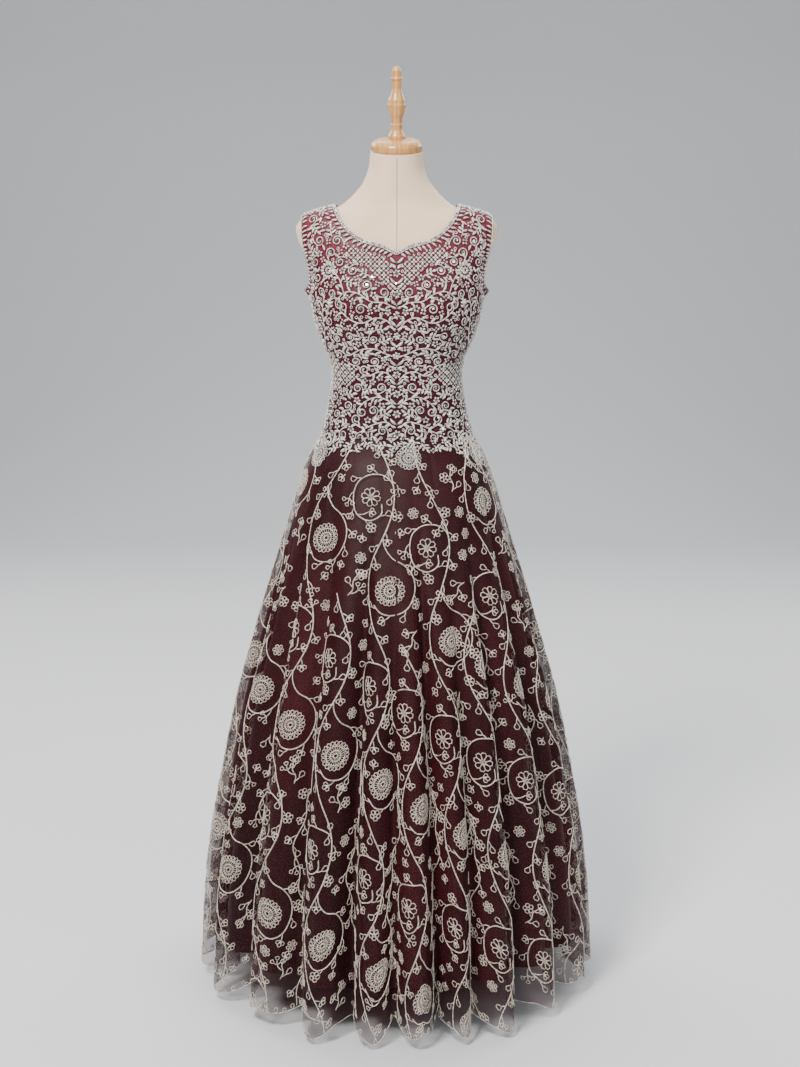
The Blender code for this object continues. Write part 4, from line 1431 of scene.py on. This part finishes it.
Branch = namedtuple("Branch", "height points curl")
BRANCHES = [
    Branch(24, [(4, 0), (20, 10), (40, 6), (60, -2), (78, 6)], 1),
    Branch(62, [(4, 0), (16, 12), (36, 18), (56, 10), (70, -4)], -1),
    Branch(112, [(4, 0), (18, 14), (34, 16), (50, 8), (62, 12)], 1),
    Branch(158, [(4, 0), (20, 6), (42, 16), (66, 14), (88, 2), (104, 10)], -1),
    Branch(206, [(4, 0), (16, 16), (38, 24), (62, 16), (82, 20), (102, 34)], 1),
    Branch(252, [(4, -6), (24, 4), (48, 6), (70, 20), (92, 22), (112, 8)], -1),
    Branch(312, [(96, -38), (104, -16), (118, 4), (128, 30)], 1),
    Branch(300, [(150, -130), (146, -96), (150, -60), (140, -30)], -1),
]


def branch_strokes(branch):
    """A curved stem with leaves on both sides and a spiral at its end, in mm across and up."""
    line = smooth_line(branch.points, 4.0)
    tip, heading = along_line(line, 1e6)
    made = []
    for k, distance in enumerate(np.arange(9, length_along(line)[-1] - 2, 8.5)):
        base, way = along_line(line, distance)
        side = 1 if k % 2 else -1
        start = base + 0.8 * side * direction(way + math.pi / 2)
        made += leaf(start, way + 0.85 * side, 11.5, 4.8, 0.6 * side)
    t = np.linspace(0, 1.35 * 2 * math.pi, 20)
    centre = tip + 9.0 * branch.curl * direction(heading + math.pi / 2)
    turn = heading - branch.curl * math.pi / 2 + branch.curl * t
    spiral = centre + (9.0 - 6.2 * t / t[-1])[:, None] * direction(turn)
    made.append(Stroke(np.concatenate([line, spiral[1:]]), 2.4))
    return made


def across_cloth(design, side):
    """Points of the dress form at these lengths across it from the middle and heights, in mm."""
    heights = HIP_SEAM_HEIGHT + design[:, 1] * MM
    xs = np.linspace(0, 0.999, 300)
    found = np.empty(len(design))
    levels = np.arange(HIP_SEAM_HEIGHT - 0.01, 1.47, 0.002)
    place = np.clip((heights - levels[0]) / 0.002, 0, len(levels) - 1.001)
    for level in np.unique(place.astype(int)):
        here = place.astype(int) == level
        z = np.full(300, levels[level])
        x = np.sin(xs * math.pi / 2) * form_width(levels[level])
        at = length_along(np.column_stack([x, form_depth(x, z, side)])) / MM
        found[here] = np.interp(design[here, 0], at, x)
    return np.column_stack([found, form_depth(found, heights, side), heights])


class Needlework:
    """Designs placed on one half of the bodice, front or back."""

    def __init__(self, side):
        self.side = side
        self.points, self.stroke, self.width, self.sequins = [], [], [], []
        self.count = 0

    def place(self, design, x, z, turn=0.0, flip=1):
        self.place_at(design, form_spot(x, z, self.side), turn, flip)

    def place_at(self, design, centre, turn=0.0, flip=1):
        across, down = front_frames(centre, form_normal(centre, self.side))
        a, b = design.points[:, 0], design.points[:, 1] * flip
        cos, sin = math.cos(turn), math.sin(turn)
        flat = np.stack([a * cos - b * sin, a * sin + b * cos], axis=1) * MM
        self.add(centre + flat[:, :1] * across + flat[:, 1:] * down, design.stroke, design.width)

    def add(self, points, stroke, width):
        self.points.append(points)
        self.stroke.append(stroke + self.count)
        self.width.append(width)
        self.count += int(stroke[-1]) + 1


def edge_walk(points, spacing, side, start=0.5):
    """Places at even spacing on an edge, with the way it runs there as a turn of the cloth's frame."""
    at = length_along(points)
    where = np.arange(start * spacing, at[-1], spacing)
    places = np.stack([np.interp(where, at, points[:, k]) for k in range(3)], axis=1)
    k = np.clip(np.searchsorted(at, where), 1, len(points) - 1)
    ways = points[k] - points[k - 1]
    across, down = front_frames(places, form_normal(places, side))
    return places, np.arctan2((ways * down).sum(1), (ways * across).sum(1))


def cord_along(work, points, inset, inward, width):
    """A cord at a constant distance from an edge."""
    places, turns = edge_walk(points, 0.0035, work.side, 0)
    across, down = front_frames(places, form_normal(places, work.side))
    turns = turns + inward * math.pi / 2
    moved_in = places + inset * MM * (np.cos(turns)[:, None] * across + np.sin(turns)[:, None] * down)
    work.add(moved_in, np.zeros(len(places), int), np.full(len(places), width))


def in_lattice(x, z, side):
    """Whether a place on half the bodice is in the lattice of the chest or of the side of the waist."""
    chest = (z > 1.342 + 0.86 * x) & (z < 1.418 + 0.25 * x) & (x < 0.090)
    beside = (np.abs(z - 1.196) + 0.62 * np.abs(x - 0.118) < 0.040) & (x < 0.116)
    return (chest & (side < 0)) | beside


def inside_bodice(points, neck, arm, margin=0.0):
    """Which points on the dress form are inside half a bodice's edges."""
    x, z = np.abs(points[..., 0]), points[..., 2]
    below_neck = (z < np.interp(x, neck[:, 0], neck[:, 1]) - margin) | (x > neck[-1, 0])
    inside_arm = x < np.interp(z, arm[:, 1], arm[:, 0]) - margin
    in_arm = (z < arm[0, 1]) | inside_arm
    return below_neck & in_arm & (z > HIP_SEAM_HEIGHT + margin)


def fill_bodice(work, places, taken, seed):
    """Designs packed between the ones already there, the largest first."""
    order = np.random.default_rng(seed).permutation(len(places))
    places = places[order]
    turns = np.random.default_rng(seed + 1).uniform(0, 2 * math.pi, len(places))
    spots = np.array([spot for spot, _ in taken]).reshape(-1, 3)
    radii = np.array([radius for _, radius in taken])
    for item in FILLING:
        same_kind = np.zeros((0, 3))
        for place, turn in zip(places, turns):
            away = np.linalg.norm(spots - place, axis=1) / MM
            if (away < 0.9 * (radii + item.radius)).any():
                continue
            if len(same_kind) and (np.linalg.norm(same_kind - place, axis=1) / MM < item.gap).any():
                continue
            work.place_at(item.design, place, turn)
            if item is FILLING[0] or (item is FILLING[2] and len(same_kind) % 3 == 0):
                work.sequins.append(place)
            spots = np.concatenate([spots, place[None]])
            radii = np.append(radii, item.radius)
            same_kind = np.concatenate([same_kind, place[None]])


def edge_needlework(half, taken, neck_edge, arm_edge):
    """Cords and small leaves along the neck and the armhole."""
    side = half.side
    cord_along(half, neck_edge, 1.3, -side, 2.4)
    cord_along(half, neck_edge, 5.9, -side, 1.6)
    cord_along(half, arm_edge, 1.2, side, 2.2)
    for edge, sign, design, step, shift, reach in (
        (neck_edge, -side, EDGE_RING, 0.0047, 0.0, 0),
        (neck_edge, -side, EDGE_LEAF, 0.0086, 3.6, 9),
        (arm_edge, side, EDGE_TOOTH, 0.0072, 0.0, 8),
    ):
        moved_in = Design(design.points + (0, shift), design.stroke, design.width)
        for place, turn in zip(*edge_walk(edge, step, side)):
            half.place_at(moved_in, place, turn, sign)
            if reach:
                across, down = front_frames(place, form_normal(place, side))
                way = turn + sign * math.pi / 2
                inward = math.cos(way) * across + math.sin(way) * down
                taken.append((place + (reach + shift) * MM * inward, 6.0))


def middle_needlework(middle, taken):
    """Florets and leaves down the middle of the front. The back's placket has its own."""
    if middle.side > 0:
        for z in np.arange(HIP_SEAM_HEIGHT, 1.45, 0.006):
            taken.append((form_spot(0.0, z, middle.side), 11.5))
        return
    for number, z in enumerate(np.arange(HIP_SEAM_HEIGHT + 0.012, 1.402, 0.0185)):
        spot = form_spot(0.0, z, middle.side)
        middle.sequins.append(spot)
        if number % 2:
            middle.place(MIDDLE_LEAVES, 0.0, z)
            taken += [(spot + (0.008, 0, 0.006), 5.5), (spot, 4.0)]
        else:
            middle.place(MIDDLE_FLORET, 0.0, z, 0.26 * number)
            taken.append((spot, 8.2))


def branch_needlework(half, taken):
    for branch in BRANCHES:
        design, number, width = gathered(branch_strokes(branch))
        design = design + (10.0 if half.side > 0 and branch.points[0][0] < 90 else 0.0, branch.height)
        half.add(across_cloth(design, half.side), number, width)
        line = across_cloth(design[number == number[-1]], half.side)
        half.sequins.append(line[-1])
        taken += [(point, 5.6) for point in line[::2]]


def lattice_needlework(half, taken, neck, arm):
    for row, z in enumerate(np.arange(HIP_SEAM_HEIGHT + 0.008, 1.45, LATTICE_STEP / 2 * MM), 1):
        xs = np.linspace(0, 0.15, 600)
        lengths = length_along(np.column_stack([xs, form_depth(xs, np.full(600, z), half.side)])) / MM
        first = LATTICE_STEP * (1.0 if row % 2 else 0.5)
        for x in np.interp(np.arange(first, 150, LATTICE_STEP), lengths, xs):
            spot = form_spot(x, z, half.side)
            if not in_lattice(x, z, half.side) or not inside_bodice(spot, neck, arm, 0.004):
                continue
            others = [(other, radius) for other, radius in taken if radius != LATTICE_RADIUS]
            if any(np.linalg.norm(spot - other) < 0.9 * (radius + 5.0) * MM for other, radius in others):
                continue
            half.place_at(LATTICE, spot)
            taken.append((spot, LATTICE_RADIUS))


def bodice_needlework(side, neckline, seed):
    """Needlework of the half with x over 0, and that of the middle, for the front or the back."""
    neck, _ = neck_and_shoulder(neckline, side, 200, 30)
    arm = armhole_points(200, side)
    grid, _ = bodice_half(side, neckline)
    half, middle = Needlework(side), Needlework(side)
    taken = []
    edge_needlework(half, taken, on_form(neck, side), on_form(arm, side))
    middle_needlework(middle, taken)
    spot = form_spot(*ARM_ROUNDEL_PLACE, side)
    half.place_at(ARM_ROUNDEL, spot)
    taken.append((spot, 18.0))
    branch_needlework(half, taken)
    lattice_needlework(half, taken, neck, arm)
    between = (grid[1:-1, 1:-1] + grid[:-2, :-2]) / 2
    places = np.concatenate([grid[1:-1, 1:-1].reshape(-1, 3), between.reshape(-1, 3)])
    places = places[inside_bodice(places, neck, arm, 0.0035)]
    fill_bodice(half, places, taken, seed)
    return half, middle, neck, arm


def build_sequins(name, spots, side):
    """Small six-sided discs lying on the needlework."""
    flat = onto_form(spots, side, 6)
    normals = form_normal(flat, side)
    normals = unit(normals + SEQUIN_TILT * np.random.default_rng(SEQUIN_SEED).uniform(-1, 1, normals.shape))
    centres = on_bodice(flat, form_normal(flat, side), NET_OFFSET + SEQUIN_LIFT)
    across, down = front_frames(flat, normals)
    turns = np.arange(6) * math.pi / 3
    rims = centres[:, None] + SEQUIN_RADIUS * (
        np.cos(turns)[None, :, None] * across[:, None] + np.sin(turns)[None, :, None] * down[:, None]
    )
    points = np.concatenate([centres[:, None] + normals[:, None] * 0.0003, rims], axis=1)
    first = np.arange(len(spots))[:, None] * 7
    here, after = first + 1 + np.arange(6), first + 1 + (np.arange(6) + 1) % 6
    faces = np.stack([here, first + 0 * here, after], axis=-1).reshape(-1, 3)
    mesh_object(name, points, faces, SEQUIN)


def build_placket_threads():
    """Cords on the placket's edges and small rings down its middle."""
    top = BACK_NECKLINE[0].height - 0.002
    found = []
    for x in (-0.0096, 0.0096):
        z = np.arange(HIP_SEAM_HEIGHT + 0.002, top, 0.004)
        found.append((np.full(len(z), x), z, 2.0))
    for middle in np.arange(HIP_SEAM_HEIGHT + 0.008, top - 0.004, 0.0082):
        ring = arc((0, 0), 2.4, 0, 2 * math.pi, 7) * MM
        found.append((ring[:, 0], middle + ring[:, 1], 1.6))
    x, z = [np.concatenate([row[k] for row in found]) for k in range(2)]
    number = np.repeat(np.arange(len(found)), [len(row[0]) for row in found])
    width = np.repeat([row[2] for row in found], [len(row[0]) for row in found])
    flat = np.stack([x, form_depth(x, z, 1), z], axis=-1)
    normals = form_normal(flat, 1)
    points = flat + normals * (NET_OFFSET + PLACKET_LIFT)
    thread_object("placket_threads", points, normals, number, width, BODICE_THREAD)


def build_bodice_threads():
    """Needlework over the whole bodice, the same on both sides of its middle."""
    for side, line, name in ((-1, FRONT_NECKLINE, "front"), (1, BACK_NECKLINE, "back")):
        half, middle, neck, arm = bodice_needlework(side, line, BODICE_SEEDS[name])
        found = []
        for work, ways in ((half, (1, -1)), (middle, (1,))):
            if not work.points:
                continue
            flat = onto_form(np.concatenate(work.points), side, 6)
            normals = form_normal(flat, side)
            stroke, width = np.concatenate(work.stroke), np.concatenate(work.width)
            keep = inside_bodice(flat, neck, arm, 0.0007) & (flat[:, 1] * side > 0.0003)
            keep &= (flat[:, 0] > (PLACKET_HALF_WIDTH if side > 0 else -0.0002)) | (work is middle)
            points = on_bodice(flat, normals, NET_OFFSET)
            for way in ways:
                turned = MIRROR if way < 0 else (1, 1, 1)
                found.append((points * turned, normals * turned, stroke + 10**7 * len(found), width, keep))
        points, normals, stroke, width, keep = joined_columns(found)
        thread_object(f"bodice_threads_{name}", points, normals, stroke, width, BODICE_THREAD, keep)
        sequins = np.concatenate([work.sequins for work in (half, middle) if work.sequins])
        sequins = np.concatenate([sequins, sequins[np.abs(sequins[:, 0]) > 0.004] * MIRROR])
        build_sequins(f"sequins_{name}", sequins, side)


# The dress form and its stand


TORSO_SIDES = 96
TURNED_SIDES = 56
FORM_SEAM_WIDTH = 1.6
POLE_RADIUS = 0.0125
CAP_LIFT = 0.0005
FINIAL_LIFT = 0.0230 + CAP_LIFT


def closed_loft(name, rings, material, top=None):
    """A closed solid from rings of the same size, bottom up."""
    rings = np.asarray(rings, float)
    rows, sides = rings.shape[:2]
    points = [*rings.reshape(-1, 3), rings[0].mean(0), rings[-1].mean(0) if top is None else top]
    low, high = rows * sides, rows * sides + 1
    quads = grid_faces(rows, sides, closed=True)
    here = np.arange(sides)
    after = (here + 1) % sides
    last = (rows - 1) * sides
    mesh = bpy.data.meshes.new(name)
    faces = [tuple(q) for q in quads.tolist()]
    faces += [(int(b), int(a), low) for a, b in zip(here, after)]
    faces += [(int(last + a), int(last + b), high) for a, b in zip(here, after)]
    mesh.from_pydata([tuple(p) for p in points], [], faces)
    mesh.shade_smooth()
    mesh.set_sharp_from_angle(angle=math.radians(50))
    mesh.materials.append(material)
    made = bpy.data.objects.new(name, mesh)
    bpy.context.scene.collection.objects.link(made)
    return made


def torso_rings(heights, sides, first=-math.pi / 2):
    """Rings of points round the dress form at these heights, bottom up."""
    turns = first + np.arange(sides) * 2 * math.pi / sides
    power = 2 / BODY_SQUARENESS
    across, ahead = np.cos(turns), np.sin(turns)
    rings = []
    for z in heights:
        width, front, back = [float(v) for v in section_at(FORM_SECTIONS, z)]
        x = width * np.sign(across) * np.abs(across) ** power
        reach = np.where(ahead < 0, front, back)
        y = reach * np.sign(ahead) * np.abs(ahead) ** power
        y -= np.where(ahead < 0, bust(x, z, np.abs(x) / width), 0)
        tilt = math.tan(float(NECK_TILT * smooth_step(NECK_TILT_FROM, NECK_TOP, z)))
        rings.append(np.stack([x, y, z + tilt * y], axis=-1))
    return rings


def build_torso():
    low = np.linspace(FORM_SECTIONS[0].height, 1.44, 44)
    high = np.linspace(1.44, NECK_TOP, 52)[1:]
    rings = torso_rings(np.concatenate([low, high]), TORSO_SIDES)
    piece = closed_loft("form_body", rings, JERSEY)
    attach(piece, BODY)
    stand_for(piece, "form_torso")


def turned_piece(name, profile, material, stretch=1.0, tip=None):
    """A turned piece with its foot at the origin, from a smooth curve through its profile."""
    heights, radii = column_of(profile, "height"), column_of(profile, "radius")
    spans = length_along(np.column_stack([heights, radii]))
    fine = np.unique(np.concatenate([np.linspace(0, spans[-1], 4 * len(profile)), spans]))
    turns = np.arange(TURNED_SIDES) * 2 * math.pi / TURNED_SIDES
    tall, wide = np.interp(fine, spans, heights), curve_through(spans, radii, fine)
    rings = [[(r * math.cos(t), r * stretch * math.sin(t), h) for t in turns] for r, h in zip(wide, tall)]
    top = None if tip is None else (0, 0, tip)
    return closed_loft(name, rings, material, top)


def build_form_seams():
    """Raised seams of the dress form's cover, at its front, its back and its shoulders."""
    found = []
    heights = np.linspace(0.87, 1.6, 150)
    for number, turn in enumerate((-0.5, 0.5, 0.0, 1.0)):
        rings = torso_rings(heights, 1, turn * math.pi)
        line = np.array([ring[0] for ring in rings])
        out = unit(line * (1, 1, 0))
        found.append((line, out, np.full(len(line), number), np.full(len(line), FORM_SEAM_WIDTH)))
    points, normals, number, width = joined_columns(found)
    thread_object("form_seams", points, normals, number, width, JERSEY_SEAM)


def build_stand():
    """Neck cap, finial, pole and base."""
    cap = turned_piece("neck_cap_wood", NECK_CAP_PROFILE, WOOD, NECK_CAP_STRETCH, 0.0227)
    finial = turned_piece("finial_wood", FINIAL_PROFILE, WOOD, 1.0, 0.1306)
    for piece, lift in ((cap, CAP_LIFT), (finial, FINIAL_LIFT)):
        piece.rotation_euler = (NECK_TILT, 0, 0)
        piece.location = (0, -lift * math.sin(NECK_TILT), NECK_TOP + lift * math.cos(NECK_TILT))
    base = turned_piece("base_plate", BASE_PROFILE, STAND)
    low, high = BASE_PROFILE[-1].height + SEAM_GAP, FORM_SECTIONS[0].height - SEAM_GAP
    pole = turned_piece("pole_tube", [Turned(0.0, POLE_RADIUS), Turned(high - low, POLE_RADIUS)], STAND)
    pole.location = (0, 0, low)
    pairs = ((cap, "form_neck_cap", "wood"), (finial, "form_finial", "wood"))
    pairs += ((base, "form_base", "stand_metal"), (pole, "form_pole", "stand_metal"))
    for piece, node, slot in pairs:
        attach(piece, BODY)
        stand_for(piece, node)


# Cuts of the cloth: width and length of the flat piece, its flat area, and how it is held
Cut = namedtuple("Cut", "width length area held rests_on")


# Camera, floor and light

LAMPS_AIM = Vector((0, 0, 1.2))
WORLD_COLOUR = (0.86, 0.89, 0.94, 1)
WORLD_STRENGTH = 0.22
FLOOR_COLOUR = (0.72, 0.73, 0.75)
Light = namedtuple("Light", "name place power size colour")
LIGHTS = [
    Light("key", (-1.15, -2.25, 3.45), 225, 0.9, (1.0, 0.97, 0.93)),
    Light("fill", (2.4, -2.5, 3.0), 52, 2.0, (0.96, 0.97, 1.0)),
    Light("back_left", (-2.6, 2.8, 3.0), 80, 1.8, (1, 1, 1)),
    Light("back_right", (2.8, 2.6, 2.8), 70, 1.8, (1, 1, 1)),
    Light("backdrop", (0.0, 2.2, 4.6), 160, 4.0, (1, 1, 1)),
]

def build_stage():
    """A pale floor that runs up into a wall far behind, and soft lights."""
    turns = np.linspace(0, math.pi / 2, 25)
    run = [(-9.0, 0.0), *[(4.2 + 1.8 * math.sin(t), 1.8 - 1.8 * math.cos(t)) for t in turns], (6.0, 9.0)]
    points = [(x, y, z) for y, z in run for x in (-12.0, 12.0)]
    faces = [(2 * k, 2 * k + 1, 2 * k + 3, 2 * k + 2) for k in range(len(run) - 1)]
    mesh = bpy.data.meshes.new("studio_floor")
    mesh.from_pydata(points, [], faces)
    mesh.shade_smooth()
    material, _ = shader_material("pale_floor", FLOOR_COLOUR, 0.7)
    mesh.materials.append(material)
    floor = bpy.data.objects.new("studio_floor", mesh)
    bpy.context.scene.collection.objects.link(floor)
    world = bpy.data.worlds.new("studio")
    world.use_nodes = True
    background = world.node_tree.nodes["Background"]
    background.inputs["Color"].default_value = WORLD_COLOUR
    background.inputs["Strength"].default_value = WORLD_STRENGTH
    bpy.context.scene.world = world
    for name, place, power, size, colour in LIGHTS:
        data = bpy.data.lights.new(name, "AREA")
        data.energy = power
        data.size = size
        data.color = colour
        lamp = bpy.data.objects.new(name, data)
        lamp.location = place
        lamp.rotation_mode = "QUATERNION"
        lamp.rotation_quaternion = (LAMPS_AIM - Vector(place)).to_track_quat("-Z", "Y")
        bpy.context.scene.collection.objects.link(lamp)


CAMERA_HEIGHT = 1.58
CAMERA_DISTANCE = 3.528
CAMERA_PITCH = math.radians(11.23)
CAMERA_LENS = 62.76


def build_camera():
    data = bpy.data.cameras.new("camera")
    data.sensor_width = 36
    data.lens = CAMERA_LENS
    camera = bpy.data.objects.new("camera", data)
    camera.location = (0.006, -CAMERA_DISTANCE, CAMERA_HEIGHT)
    camera.rotation_euler = (math.pi / 2 - CAMERA_PITCH, 0, 0)
    bpy.context.scene.collection.objects.link(camera)
    bpy.context.scene.camera = camera


build_torso()
build_stand()
bodice = build_bodice()
skirt = build_skirt()
build_skirt_threads()
build_hip_edge()
build_hem_cord()
build_bodice_threads()
build_placket_threads()
build_form_seams()
build_stage()
build_camera()
